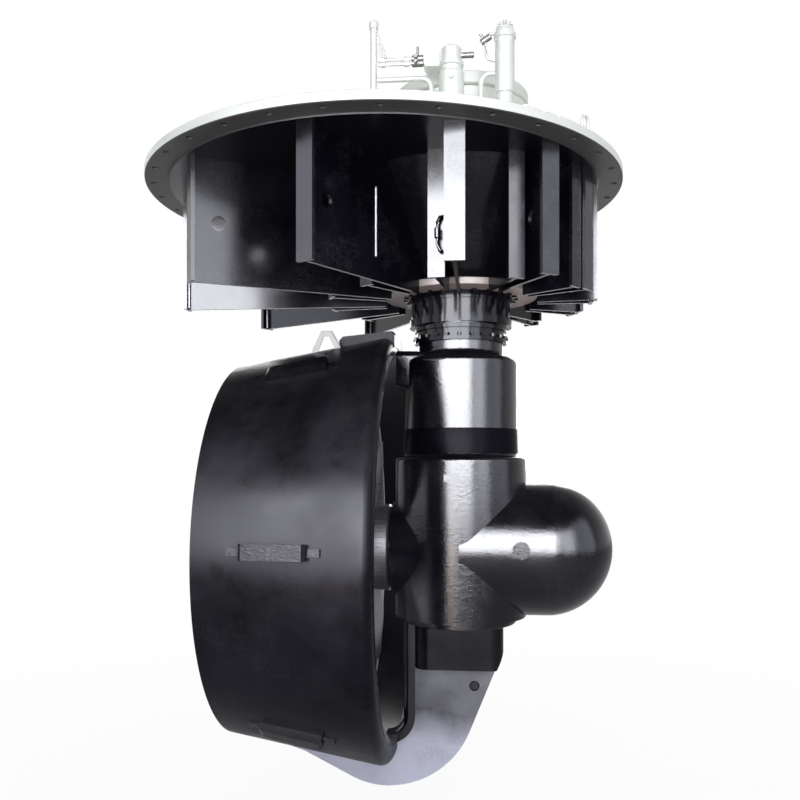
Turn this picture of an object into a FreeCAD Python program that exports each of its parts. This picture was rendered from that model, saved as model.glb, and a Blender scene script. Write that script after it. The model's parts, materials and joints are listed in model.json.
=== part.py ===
import FreeCAD, Part
import Sketcher
import math
import os
from FreeCAD import Placement, Rotation, Vector

# An azimuth thruster: an eccentric well flange with a ribbed stem cone carries a steered leg with a
# ducted propeller. Origin: centre of the flange's bolt circle on its seating face. +X points at the
# nose of the bulb, +Z up. Lengths in millimetres, angles in degrees.

DRIVING_SIZES = {
    "flange_radius": 1570,
    "flange_thickness": 54,
    "flange_bevel": 4,
    "seat_width": 150,
    "spigot_depth": 8,
    "flange_bolt_inset": 55,
    "flange_bolt_count": 32,
    "flange_hole_radius": 21,
    "well_offset": 515,
    "flange_bore_gap": 110,
    "rib_circle_inset": 28,
    "rib_depth": 745,
    "rib_thickness": 22,
    "rib_hole_radius": 45,
    "rib_hole_inset": 172,
    "rib_hole_depth": 385,
    "faceplate_width": 112,
    "faceplate_thickness": 24,
    "rib_clearance": 3,
    "rib_count": 12,
    "short_rib_overhang": 60,
    "short_faceplate_width": 100,
    "short_rib_lag": 7.5,
    "cone_top_radius": 840,
    "cone_base_radius": 420,
    "cone_wall": 28,
    "cone_base_depth": 660,
    "base_disc_overhang": 90,
    "base_disc_thickness": 45,
    "rim_eye_rod": 9,
    "rim_eye_width": 64,
    "rim_eye_height": 88,
    "rim_eye_inset": 40,
    "rim_eye_angle": 36,
    "bearing_housing_radius": 343,
    "bearing_housing_depth": 903,
    "housing_band": 46,
    "housing_waist": 12,
    "housing_bolt_count": 24,
    "seal_height": 28,
    "turning_gap": 8,
    "lower_ring_radius": 309,
    "lower_ring_height": 102,
    "lower_ring_edge": 24,
    "lower_ring_waist": 14,
    "tube_radius": 240,
    "tube_wall": 26,
    "bush_wall": 34,
    "seat_gap": 0.1,
    "running_gap": 0.08,
    "free_gap": 0.4,
    "weld_gap": 0.3,
    "gear_axis_drop": 2381,
    "neck_radius": 285,
    "shoulder_radius": 378,
    "shoulder_drop": 1175,
    "step_drop": 1740,
    "hip_radius": 438,
    "hip_drop": 1800,
    "leg_foot_drop": 4,
    "bulb_wall": 54,
    "bulb_front": 600,
    "nose_length": 402,
    "leg_bore": 232,
    "chamber_gap": 58,
    "chamber_rear": 150,
    "tail_radius": 312,
    "tail_rear": 452,
    "tail_bearing_wall": 45,
    "tail_bearing_length": 108,
    "tail_seal_length": 56,
    "arm_width": 330,
    "arm_drop": 89,
    "arm_height": 238,
    "foot_flange_radius": 370,
    "foot_flange_thickness": 46,
    "strut_front": 287,
    "strut_rear": 304,
    "strut_height": 313,
    "strut_width": 230,
    "strut_corner": 95,
    "strut_front_bend": 420,
    "strut_foot_inset": 46,
    "fin_thickness": 72,
    "fin_inset": 4,
    "fin_nose_x": 60,
    "fin_nose_drop": 430,
    "fin_nose_bend": 608,
    "fin_lowest_x": 502,
    "fin_keel": 203,
    "fin_rise_bend": 520,
    "fin_rise_angle": 26.5,
    "fin_rise_run": 330,
    "fin_tail_x": 1350,
    "fin_tail_wall": 120,
    "fin_cut_gap": 48,
    "fin_cut_bend": 190,
    "fin_hole_x": 94,
    "fin_hole_drop": 118,
    "fin_hole_radius": 34,
    "fin_edge_width": 80,
    "fin_edge_thickness": 112,
    "fin_edge_round": 34,
    "nozzle_front": 427,
    "nozzle_rear": 1455,
    "nozzle_wall": 227,
    "nozzle_tail_wall": 36,
    "nozzle_lip": 62,
    "mouth_flare": 110,
    "throat_radius": 1180,
    "throat_front": 640,
    "throat_rear": 1080,
    "liner_thickness": 18,
    "liner_bevel": 6,
    "liner_end_gap": 4,
    "outlet_flare": 16,
    "saddle_rear": 784,
    "saddle_front": 421,
    "saddle_thickness": 45,
    "saddle_half_angle": 11,
    "saddle_round": 24,
    "saddle_fall": 30,
    "lug_width": 250,
    "lug_height": 122,
    "lug_bar": 34,
    "lug_centre": 855,
    "lug_thickness": 26,
    "lug_angle": 13.5,
    "anode_length": 380,
    "anode_width": 90,
    "anode_height": 52,
    "anode_round": 18,
    "anode_strap_length": 530,
    "anode_strap_width": 44,
    "anode_strap_height": 14,
    "anode_centre": 970,
    "tip_gap": 12,
    "hub_radius": 292,
    "hub_front": 464,
    "hub_rear": 1010,
    "hub_rear_radius": 205,
    "cap_length": 170,
    "blade_plane": 760,
    "blade_root_chord": 430,
    "blade_mid_chord": 760,
    "blade_tip_chord": 880,
    "blade_root_thickness": 92,
    "blade_tip_thickness": 24,
    "propeller_pitch": 2250,
    "blade_count": 4,
    "shaft_radius": 105,
    "shaft_front": 470,
    "shaft_reach": 60,
    "thrust_width": 120,
    "carrier_inset": 30,
    "drive_shaft_radius": 68,
    "crown_teeth": 39,
    "pinion_teeth": 13,
    "crown_pitch_radius": 330,
    "bevel_face": 88,
    "ring_teeth": 100,
    "steering_pinion_teeth": 25,
    "ring_pitch_radius": 500,
    "ring_face": 80,
    "tooth_fill": 0.84,
    "case_gap": 50,
    "case_wall": 22,
    "case_height": 206,
    "cover_thickness": 30,
    "cover_overhang": 16,
    "tower_radius": 450,
    "tower_top": 544,
    "groove_height": 14,
    "groove_depth": 26,
    "cap_top": 644,
    "input_bearing_wall": 60,
    "input_bearing_height": 90,
    "coupling_radius": 165,
    "coupling_top": 742,
    "coupling_thickness": 42,
    "coupling_bolt_radius": 128,
    "coupling_hole_radius": 13,
    "coupling_bolt_count": 12,
    "pinion_bearing_rise": 150,
    "pinion_bearing_height": 110,
    "motor_radius": 64,
    "motor_foot": 104,
    "motor_collar": 9,
    "motor_top": 692,
    "bevel_back": 34,
    "carrier_radius": 215,
    "pipe_radius": 21,
    "line_radius": 10,
    "drain_radius": 16,
    "pipe_bend": 60,
    "riser_x": 520,
    "riser_y": 560,
    "riser_top": 909,
    "upper_line": 668,
    "middle_line": 640,
    "lower_line": 546,
    "drain_reach": 355,
    "valve_width": 96,
    "valve_depth": 120,
    "valve_low": 596,
    "valve_high": 706,
    "branch_level": 250,
    "branch_reach": 85,
    "canister_x": 281,
    "canister_y": 603,
    "canister_radius": 58,
    "canister_top": 822,
    "steering_slot": 26,
    "stub_radius": 34,
    "slewing_outer_wall": 78,
    "slewing_inner_wall": 80,
    "slewing_height": 56,
}


class Size:
    """A length or an angle: its number and the sheet formula that gives it."""

    def __init__(self, value, formula=None):
        self.value = float(value)
        self.formula = formula or f"({float(value)!r})"

    def __add__(self, other):
        other = sized(other)
        return Size(self.value + other.value, f"({self.formula} + {other.formula})")

    def __sub__(self, other):
        other = sized(other)
        return Size(self.value - other.value, f"({self.formula} - {other.formula})")

    def __mul__(self, other):
        other = sized(other)
        return Size(self.value * other.value, f"({self.formula} * {other.formula})")

    def __truediv__(self, other):
        other = sized(other)
        return Size(self.value / other.value, f"({self.formula} / {other.formula})")

    def __neg__(self):
        return Size(-self.value, f"(-1 * {self.formula})")

    def __radd__(self, other):
        return sized(other) + self

    def __rsub__(self, other):
        return sized(other) - self

    def __rmul__(self, other):
        return sized(other) * self

    def __rtruediv__(self, other):
        return sized(other) / self

    def __float__(self):
        return self.value


def sized(value):
    return value if isinstance(value, Size) else Size(value)


def sine(angle):
    angle = sized(angle)
    return Size(math.sin(math.radians(angle.value)), f"sin({angle.formula} * 1 deg)")


def cosine(angle):
    angle = sized(angle)
    return Size(math.cos(math.radians(angle.value)), f"cos({angle.formula} * 1 deg)")


def root(value):
    return Size(math.sqrt(value.value), f"sqrt({value.formula})")


def make_sheet(doc):
    """The driving sizes as plain numbers with aliases; each comes back as a Size."""
    sheet = doc.addObject("Spreadsheet::Sheet", "Sizes")
    for row, (alias, number) in enumerate(DRIVING_SIZES.items(), start=1):
        sheet.set(f"A{row}", alias)
        sheet.set(f"B{row}", str(number))
        sheet.setAlias(f"B{row}", alias)
    doc.recompute()
    return {alias: Size(sheet.get(alias), f"Sizes.{alias}") for alias in DRIVING_SIZES}


DOC = FreeCAD.newDocument("azimuth_thruster")
S = make_sheet(DOC)
PARTS = []

# Levels and radii that several pieces share
SPIGOT = -S["spigot_depth"]
DECK = S["flange_thickness"]
CENTRE = (S["well_offset"], Size(0), Size(0))
GEAR_LEVEL = (S["well_offset"], Size(0), -S["gear_axis_drop"])
DISC_BOTTOM = -(S["cone_base_depth"] + S["base_disc_thickness"])
HOUSING_BOTTOM = -S["bearing_housing_depth"]
RING_TOP = HOUSING_BOTTOM - S["turning_gap"]
RING_BOTTOM = RING_TOP - S["lower_ring_height"]
TUBE_INNER = S["tube_radius"] - S["tube_wall"]
TUBE_TOP = DECK + S["slewing_height"]
CASE_TOP = DECK + S["case_height"]
COVER_TOP = CASE_TOP + S["cover_thickness"]
SPIGOT_RADIUS = S["flange_radius"] - S["seat_width"]
BOLT_CIRCLE = S["flange_radius"] - S["flange_bolt_inset"]
RIB_CIRCLE = SPIGOT_RADIUS - S["rib_circle_inset"]
SHORT_RIB_REACH = S["cone_top_radius"] + S["short_rib_overhang"]
BASE_DISC_RADIUS = S["cone_base_radius"] + S["base_disc_overhang"]
CHAMBER_RADIUS = S["crown_pitch_radius"] + S["chamber_gap"]
BULB_RADIUS = CHAMBER_RADIUS + S["bulb_wall"]
LEG_FOOT = BULB_RADIUS + S["leg_foot_drop"]
FLANGE_FOOT = LEG_FOOT + S["foot_flange_thickness"]
STRUT_FOOT = FLANGE_FOOT + S["strut_height"]
NOZZLE_RADIUS = S["throat_radius"] + S["nozzle_wall"]
OUTLET_RADIUS = S["throat_radius"] + S["outlet_flare"]
NOZZLE_TAIL_RADIUS = OUTLET_RADIUS + S["nozzle_tail_wall"]
LINER_RADIUS = S["throat_radius"] - S["liner_thickness"]
PROPELLER_RADIUS = LINER_RADIUS - S["tip_gap"]
TAIL_BORE = S["shaft_radius"] + S["tail_bearing_wall"]
TOWER_BORE = S["drive_shaft_radius"] + S["input_bearing_wall"]
SLEWING_JOINT = S["tube_radius"] + S["slewing_inner_wall"]
SLEWING_RADIUS = SLEWING_JOINT + S["slewing_outer_wall"]
STEERING_PINION_RADIUS = S["ring_pitch_radius"] * S["steering_pinion_teeth"] / S["ring_teeth"]
STEERING_CENTRES = S["ring_pitch_radius"] + STEERING_PINION_RADIUS
CASE_RADIUS = STEERING_CENTRES + STEERING_PINION_RADIUS + S["case_gap"]
BEVEL_PINION_RADIUS = S["crown_pitch_radius"] * S["pinion_teeth"] / S["crown_teeth"]
BEVEL_ADDENDUM = 0.70
BEVEL_DEDENDUM = 0.95


def bind(thing, name, value):
    """Set a property from a size; a formula follows the sheet, a plain number stays."""
    value = sized(value)
    if "Sizes." in value.formula:
        thing.setExpression(name, value.formula)
    elif "." not in name:
        kind = type(getattr(thing, name))
        setattr(thing, name, int(value.value) if kind is int else value.value)


def place(thing, at=(0, 0, 0), turn=0, axis=(0, 0, 1)):
    """Put a sub-part at a point, turned by an angle about an axis."""
    at = [sized(value) for value in at]
    turn = sized(turn)
    base = Vector(*[value.value for value in at])
    thing.Placement = Placement(base, Rotation(Vector(*axis), turn.value))
    for letter, value in zip("xyz", at):
        bind(thing, f"Placement.Base.{letter}", value)
    bind(thing, "Placement.Rotation.Angle", turn)


def keep(thing, label=None):
    """Hand a finished sub-part in under its own name."""
    if label:
        thing.Label = label
    PARTS.append(thing)
    return thing


def new_body(label):
    body = DOC.addObject("PartDesign::Body", label)
    body.Label = label
    return body


def origin_plane(body, role):
    return next(item for item in body.Origin.OriginFeatures if item.Role == role)


def arc_centre(start, end, radius):
    """Centre of the short arc from start to end; a positive radius puts it on the left."""
    (ax, ay), (bx, by) = start, end
    half = math.hypot(bx - ax, by - ay) / 2
    rise = math.sqrt(max(radius * radius - half * half, 0.0))
    side = math.copysign(1.0, radius)
    nx = -(by - ay) / (2 * half)
    ny = (bx - ax) / (2 * half)
    return (ax + bx) / 2 + side * rise * nx, (ay + by) / 2 + side * rise * ny


def add_edge(sketch, corner, following):
    """One line or arc of an outline; gives the numbers of its first and last points."""
    start = (corner[0].value, corner[1].value)
    end = (following[0].value, following[1].value)
    if len(corner) == 2:
        sketch.addGeometry(Part.LineSegment(Vector(*start, 0), Vector(*end, 0)), False)
        return 1, 2
    radius = corner[2].value
    cx, cy = arc_centre(start, end, radius)
    circle = Part.Circle(Vector(cx, cy, 0), Vector(0, 0, 1), abs(radius))
    ends = (start, end) if radius > 0 else (end, start)
    first, last = [math.atan2(y - cy, x - cx) for x, y in ends]
    sketch.addGeometry(Part.ArcOfCircle(circle, first, last), False)
    return (1, 2) if radius > 0 else (2, 1)


def constrain(sketch, kind, arguments, value):
    """A dimension of a sketch, tied to the sheet where its value has a formula."""
    index = sketch.addConstraint(Sketcher.Constraint(kind, *arguments, value.value))
    if "Sizes." in value.formula:
        sketch.setExpression(f"Constraints[{index}]", value.formula)


def add_outline(sketch, outline):
    """A closed outline; a corner's third value is the radius of the arc that leaves it."""
    corners = [tuple(sized(value) for value in corner) for corner in outline]
    first = sketch.GeometryCount
    count = len(corners)
    ends = [add_edge(sketch, corners[i], corners[(i + 1) % count]) for i in range(count)]
    for i in range(count):
        following = (i + 1) % count
        joint = (first + i, ends[i][1], first + following, ends[following][0])
        sketch.addConstraint(Sketcher.Constraint("Coincident", *joint))
    for i, corner in enumerate(corners):
        point = (-1, 1, first + i, ends[i][0])
        constrain(sketch, "DistanceX", point, corner[0])
        constrain(sketch, "DistanceY", point, corner[1])
        if len(corner) == 3:
            radius = corner[2] if corner[2].value > 0 else -corner[2]
            constrain(sketch, "Radius", (first + i,), radius)


def add_circle(sketch, x, y, radius):
    x, y, radius = sized(x), sized(y), sized(radius)
    circle = Part.Circle(Vector(x.value, y.value, 0), Vector(0, 0, 1), radius.value)
    number = sketch.addGeometry(circle, False)
    constrain(sketch, "DistanceX", (-1, 1, number, 3), x)
    constrain(sketch, "DistanceY", (-1, 1, number, 3), y)
    constrain(sketch, "Radius", (number,), radius)


def add_sketch(body, plane, outlines=(), circles=()):
    """A sketch on one of the body's own planes."""
    sketch = body.newObject("Sketcher::SketchObject", f"{body.Name}_sketch")
    sketch.AttachmentSupport = (origin_plane(body, plane), [""])
    sketch.MapMode = "FlatFace"
    for outline in outlines:
        add_outline(sketch, outline)
    for circle in circles:
        add_circle(sketch, *circle)
    return sketch


def add_revolution(body, outline, axis="V_Axis", sweep=None):
    """Turn an outline on the XZ plane about its vertical or level axis."""
    sketch = add_sketch(body, "XZ_Plane", [outline])
    turned = body.newObject("PartDesign::Revolution", f"{body.Name}_turned")
    turned.Profile = sketch
    turned.ReferenceAxis = (sketch, [axis])
    turned.Angle = 360
    if sweep is not None:
        turned.Midplane = True
        bind(turned, "Angle", sweep)
    return turned


def add_pad(body, plane, length, outlines=(), circles=(), both=True, reverse=False):
    sketch = add_sketch(body, plane, outlines, circles)
    pad = body.newObject("PartDesign::Pad", f"{body.Name}_pad")
    pad.Profile = sketch
    bind(pad, "Length", length)
    pad.Midplane = both
    pad.Reversed = reverse
    return pad


def add_pattern(body, feature, count, axis="Z_Axis"):
    """Repeat a feature all the way round one of the body's own axes."""
    pattern = body.newObject("PartDesign::PolarPattern", f"{body.Name}_pattern")
    pattern.Originals = [feature]
    pattern.Axis = (origin_plane(body, axis), [""])
    pattern.Angle = 360
    bind(pattern, "Occurrences", count)
    body.Tip = pattern
    return pattern


def turned_part(label, outline, at=CENTRE, axis="V_Axis"):
    """A sub-part of revolution about the azimuth axis, or about the propeller axis."""
    body = new_body(label)
    add_revolution(body, outline, axis)
    place(body, at)
    return keep(body)


def ring(inner, outer, low, high, edge=0):
    """Section of a ring between two levels, with its outer edges bevelled."""
    if not edge:
        return [(inner, low), (outer, low), (outer, high), (inner, high)]
    return [(inner, low), (outer - edge, low), (outer, low + edge), (outer, high - edge),
            (outer - edge, high), (inner, high)]


def lying(section):
    """The same section for the level axis: its levels along X, its radii upwards."""
    return [(corner[1], corner[0], *[-value for value in corner[2:]]) for corner in section]


def bolt_ring(label, count, circle, head, height, level, at=CENTRE, plane="XY_Plane", axis="Z_Axis",
              reverse=False, alone=True):
    """Hexagon bolt heads in a circle; each stands on the face at the given level."""
    body = new_body(label)
    corners = []
    for number in range(6):
        x = circle + head * cosine(60 * number + 30)
        corners.append((x, head * sine(60 * number + 30)))
    add_pad(body, plane, height, [corners], both=False, reverse=reverse)
    DOC.recompute()
    add_pattern(body, body.Tip, count, axis)
    x, y, z = at
    place(body, (x + level, y, z) if axis == "X_Axis" else (x, y, z + level))
    return keep(body) if alone else body


def grouped(label, members):
    """Like pieces that share one node as separate solids."""
    group = DOC.addObject("Part::Compound", label)
    group.Links = members
    return keep(group, label)


def shaped(label, shape, at=(0, 0, 0), turn=0, axis=(0, 0, 1)):
    """A sub-part whose form no sketch gives: its shape is set, then its place."""
    piece = DOC.addObject("Part::Feature", label)
    piece.Shape = shape
    place(piece, at, turn, axis)
    return piece


def mounting_flange():
    """The well flange: its seating rim, spigot and bolt holes, and the eccentric opening."""
    body = new_body("mounting_flange")
    bevel = S["flange_bevel"]
    outline = [(0, SPIGOT), (SPIGOT_RADIUS, SPIGOT), (SPIGOT_RADIUS, 0),
               (S["flange_radius"] - bevel, 0), (S["flange_radius"], bevel),
               (S["flange_radius"], DECK - bevel), (S["flange_radius"] - bevel, DECK), (0, DECK)]
    add_revolution(body, outline)
    DOC.recompute()
    half_pitch = 180 / S["flange_bolt_count"]
    centre = (BOLT_CIRCLE * cosine(half_pitch), BOLT_CIRCLE * sine(half_pitch))
    sketch = add_sketch(body, "XY_Plane", circles=[(*centre, S["flange_hole_radius"])])
    holes = body.newObject("PartDesign::Pocket", "flange_hole")
    holes.Profile = sketch
    holes.Type = "ThroughAll"
    holes.Midplane = True
    DOC.recompute()
    add_pattern(body, holes, S["flange_bolt_count"])
    DOC.recompute()
    sketch = add_sketch(body, "XY_Plane", circles=[(S["well_offset"], 0, S["tube_radius"] + S["flange_bore_gap"])])
    opening = body.newObject("PartDesign::Pocket", "flange_opening")
    opening.Profile = sketch
    opening.Type = "ThroughAll"
    opening.Midplane = True
    body.Tip = opening
    return keep(body)


def rim_eyes():
    """Two lifting eyes of bent rod, welded on the flange near its rim."""
    rod, height = S["rim_eye_rod"].value, S["rim_eye_height"].value
    half = S["rim_eye_width"].value / 2
    loop = [Vector(0, -half, 0), Vector(0, -half, height), Vector(0, half, height), Vector(0, half, 0)]
    radius = S["flange_radius"] - S["rim_eye_inset"]
    eyes = []
    for number in range(2):
        angle = 180 * number - S["rim_eye_angle"]
        at = (radius * cosine(angle), radius * sine(angle), DECK)
        eyes.append(shaped(f"rim_eye_{number + 1}", pipe(loop, rod, half - rod / 4), at, angle))
    return grouped("rim_eyes", eyes)


def cone_radius(level):
    """Outside radius of the stem cone at a level under the flange."""
    top, base = S["cone_top_radius"], S["cone_base_radius"]
    return top - (top - base) * (SPIGOT - level) / (S["cone_base_depth"] + SPIGOT)


def stem_cone():
    low = -S["cone_base_depth"]
    inner = S["cone_base_radius"] - S["cone_wall"]
    outline = [(S["cone_top_radius"], SPIGOT), (S["cone_top_radius"] - S["cone_wall"], SPIGOT),
               (inner, low), (S["cone_base_radius"], low)]
    turned_part("stem_cone", outline)
    bore = S["tube_radius"] + S["bush_wall"]
    disc = ring(bore, BASE_DISC_RADIUS, DISC_BOTTOM, low, 4)
    turned_part("stem_base_disc", disc)


def rib_reach(angle):
    """Distance from the azimuth axis to the circle of rib ends, along an angle from +X."""
    along = -S["well_offset"] * cosine(angle)
    offset = S["well_offset"] * S["well_offset"]
    circle = RIB_CIRCLE * RIB_CIRCLE
    return along + root(along * along - offset + circle)


def rib(label, angle, reach, with_hole):
    """One radial rib: it follows the cone, clears the base disc and ends at its faceplate."""
    body = new_body(label)
    clear = S["rib_clearance"]
    disc_edge = BASE_DISC_RADIUS + clear
    disc_top = -S["cone_base_depth"] + clear
    low = -S["rib_depth"]
    end = reach - S["faceplate_thickness"]
    outline = [(S["cone_top_radius"], SPIGOT), (end, SPIGOT), (end, low), (disc_edge, low),
               (disc_edge, disc_top), (cone_radius(disc_top), disc_top)]
    hole = (reach - S["rib_hole_inset"], -S["rib_hole_depth"], S["rib_hole_radius"])
    add_pad(body, "XZ_Plane", S["rib_thickness"], [outline], [hole] if with_hole else [])
    place(body, CENTRE, angle)
    return body


def faceplate(label, angle, reach, width):
    """The upright plate on the end of a rib."""
    body = new_body(label)
    outline = [(reach - S["faceplate_thickness"], SPIGOT), (reach, SPIGOT), (reach, -S["rib_depth"]),
               (reach - S["faceplate_thickness"], -S["rib_depth"])]
    add_pad(body, "XZ_Plane", width, [outline])
    place(body, CENTRE, angle)
    return body


def stem_ribs():
    """Twelve long ribs to the well circle and twelve short ones beside them."""
    long_ribs, long_plates, short_ribs, short_plates = [], [], [], []
    count = int(S["rib_count"].value)
    for number in range(count):
        angle = 360 * number / S["rib_count"] - 90
        reach = rib_reach(angle)
        long_ribs.append(rib(f"long_rib_{number + 1}", angle, reach, True))
        plate = faceplate(f"long_plate_{number + 1}", angle, reach, S["faceplate_width"])
        long_plates.append(plate)
        angle = angle - S["short_rib_lag"]
        reach = SHORT_RIB_REACH
        short_ribs.append(rib(f"short_rib_{number + 1}", angle, reach, False))
        width = S["short_faceplate_width"]
        short_plates.append(faceplate(f"short_plate_{number + 1}", angle, reach, width))
    grouped("long_ribs", long_ribs)
    grouped("long_rib_faceplates", long_plates)
    grouped("short_ribs", short_ribs)
    grouped("short_rib_faceplates", short_plates)


def lower_steering_bearing():
    """The fixed housing under the stem with its bush, its seal and its bolts."""
    bush_seat = S["tube_radius"] + S["bush_wall"]
    outer = S["bearing_housing_radius"]
    top = DISC_BOTTOM
    band = S["housing_band"]
    inset = S["housing_waist"]
    outline = [(bush_seat, top), (outer, top), (outer, top - band), (outer - inset, top - band),
               (outer - inset, HOUSING_BOTTOM + band), (outer, HOUSING_BOTTOM + band),
               (outer, HOUSING_BOTTOM), (bush_seat, HOUSING_BOTTOM)]
    turned_part("bearing_housing", outline)
    inner = S["tube_radius"] + S["running_gap"]
    seal_top = HOUSING_BOTTOM + S["seal_height"]
    bush = ring(inner, bush_seat - S["seat_gap"], seal_top + S["seat_gap"], DISC_BOTTOM + S["free_gap"])
    turned_part("steering_bush", bush)
    lip = ring(inner, bush_seat - S["seat_gap"], HOUSING_BOTTOM, seal_top)
    turned_part("stem_seal", lip)
    count = S["housing_bolt_count"]
    bolt_ring("housing_bolts", count, outer + 26, 17, 15, top, reverse=True)


def steering_tube():
    """The pipe that steers the leg, with the ring bolted under it."""
    tube = ring(TUBE_INNER, S["tube_radius"], RING_TOP, TUBE_TOP)
    turned_part("steering_tube", tube)
    outer = S["lower_ring_radius"]
    waist = S["lower_ring_waist"]
    edge = S["lower_ring_edge"]
    outline = [(TUBE_INNER, RING_TOP), (outer, RING_TOP), (outer, RING_TOP - edge),
               (outer - waist, RING_TOP - edge), (outer - waist, RING_BOTTOM + edge),
               (outer, RING_BOTTOM + edge), (outer, RING_BOTTOM), (TUBE_INNER, RING_BOTTOM)]
    turned_part("lower_ring", outline)
    count = S["housing_bolt_count"]
    bolt_ring("lower_ring_bolts", count, outer - 2, 13, 20, RING_BOTTOM + edge)


def slewing_bearing():
    """Bearing at deck level: outer ring on the flange, inner ring under the ring gear."""
    gap = S["running_gap"]
    outer = ring(SLEWING_JOINT + gap, SLEWING_RADIUS, DECK, TUBE_TOP - S["turning_gap"])
    turned_part("slewing_outer_ring", outer)
    inner = ring(S["tube_radius"] + S["seat_gap"], SLEWING_JOINT, DECK + S["free_gap"], TUBE_TOP)
    turned_part("slewing_inner_ring", inner)


def tooth_ring(pitch_radius, teeth, height, bore, phase):
    """A spur gear with straight-sided teeth; a tooth stands at the phase angle."""
    module = 2 * pitch_radius / teeth
    addendum, dedendum = 0.85 * module, 1.1 * module
    pressure = math.tan(math.radians(20))
    half = math.pi * module / 4 * S["tooth_fill"].value
    points = []
    for number in range(teeth):
        middle = math.radians(phase) + 2 * math.pi * number / teeth
        flanks = ((pitch_radius - dedendum, half + dedendum * pressure),
                  (pitch_radius + addendum, half - addendum * pressure))
        for radius, width in (flanks[0], flanks[1]):
            points.append((radius, middle - width / pitch_radius))
        for radius, width in (flanks[1], flanks[0]):
            points.append((radius, middle + width / pitch_radius))
    corners = [Vector(r * math.cos(a), r * math.sin(a), 0) for r, a in points]
    face = Part.Face(Part.makePolygon(corners + corners[:1]))
    gear = face.extrude(Vector(0, 0, height))
    if bore:
        gear = gear.cut(Part.makeCylinder(bore, height))
    return gear


def steering_angle(number):
    """Polar angle of a steering motor, a whole number of ring gear teeth from +X."""
    teeth = int(S["ring_teeth"].value)
    step = -int(S["steering_slot"].value) + number * (teeth // 2)
    return 360.0 * step / teeth


def steering_centre(number):
    angle = steering_angle(number)
    x = S["well_offset"] + STEERING_CENTRES * cosine(angle)
    return x, STEERING_CENTRES * sine(angle)


def steering_gears():
    """Ring gear on the steering tube and the pinions that turn it."""
    face = S["ring_face"].value
    teeth = int(S["ring_teeth"].value)
    bore = TUBE_INNER.value
    gear = tooth_ring(S["ring_pitch_radius"].value, teeth, face, bore, 0)
    keep(shaped("ring_gear", gear, (S["well_offset"], 0, TUBE_TOP)))
    count = int(S["steering_pinion_teeth"].value)
    for number in range(2):
        phase = steering_angle(number) + 180 + 180.0 / count
        pinion = tooth_ring(STEERING_PINION_RADIUS.value, count, face, 0, phase)
        stem_top = CASE_TOP.value - TUBE_TOP.value + S["cover_thickness"].value + 60
        pinion = pinion.fuse(Part.makeCylinder(S["stub_radius"].value, stem_top))
        x, y = steering_centre(number)
        keep(shaped(f"steering_pinion_{number + 1}", pinion, (x, y, TUBE_TOP)))


def steering_case():
    """Gear case on the flange, its cover, and the tower over the steering tube."""
    outer = CASE_RADIUS
    inner = outer - S["case_wall"]
    foot = 26
    foot_height = 28
    outline = [(inner, DECK), (outer + foot, DECK), (outer + foot, DECK + foot_height),
               (outer, DECK + foot_height), (outer, CASE_TOP), (inner, CASE_TOP)]
    turned_part("steering_case", outline)
    body = new_body("case_cover")
    edge = outer + S["cover_overhang"]
    add_revolution(body, ring(TOWER_BORE, edge, CASE_TOP, COVER_TOP, 4))
    DOC.recompute()
    bore = S["stub_radius"] + 28
    circles = []
    for number in range(2):
        angle = steering_angle(number)
        circles.append((STEERING_CENTRES * cosine(angle), STEERING_CENTRES * sine(angle), bore))
    sketch = add_sketch(body, "XY_Plane", circles=circles)
    holes = body.newObject("PartDesign::Pocket", "motor_seats")
    holes.Profile = sketch
    holes.Type = "ThroughAll"
    holes.Midplane = True
    body.Tip = holes
    place(body, CENTRE)
    keep(body)
    bolts = [bolt_ring("cover_bolt_ring", 36, outer - 2, 13, 16, COVER_TOP, alone=False),
             bolt_ring("foot_bolt_ring", 36, outer + 13, 10, 12, DECK + foot_height, alone=False)]
    top = S["tower_top"]
    groove = S["tower_radius"] - S["groove_depth"]
    outline = [(TOWER_BORE, COVER_TOP), (S["tower_radius"] + 40, COVER_TOP),
               (S["tower_radius"] + 40, COVER_TOP + 26), (S["tower_radius"], COVER_TOP + 26),
               (S["tower_radius"], top), (groove, top), (groove, top + S["groove_height"]),
               (TOWER_BORE, top + S["groove_height"])]
    turned_part("input_tower", outline)
    level = COVER_TOP + 26
    bolts.append(bolt_ring("tower_bolt_ring", 24, S["tower_radius"] + 20, 12, 14, level, alone=False))
    grouped("case_bolts", bolts)
    cap = ring(TOWER_BORE, S["tower_radius"], top + S["groove_height"], S["cap_top"], 10)
    turned_part("input_cap", cap)


def pinion_back():
    """Height of the bevel pinion's back face above the propeller axis."""
    crown, pinion = S["crown_pitch_radius"], BEVEL_PINION_RADIUS
    dedendum = BEVEL_DEDENDUM * 2 * crown / S["crown_teeth"]
    return crown + dedendum * pinion / root(crown * crown + pinion * pinion) + S["bevel_back"]


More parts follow.
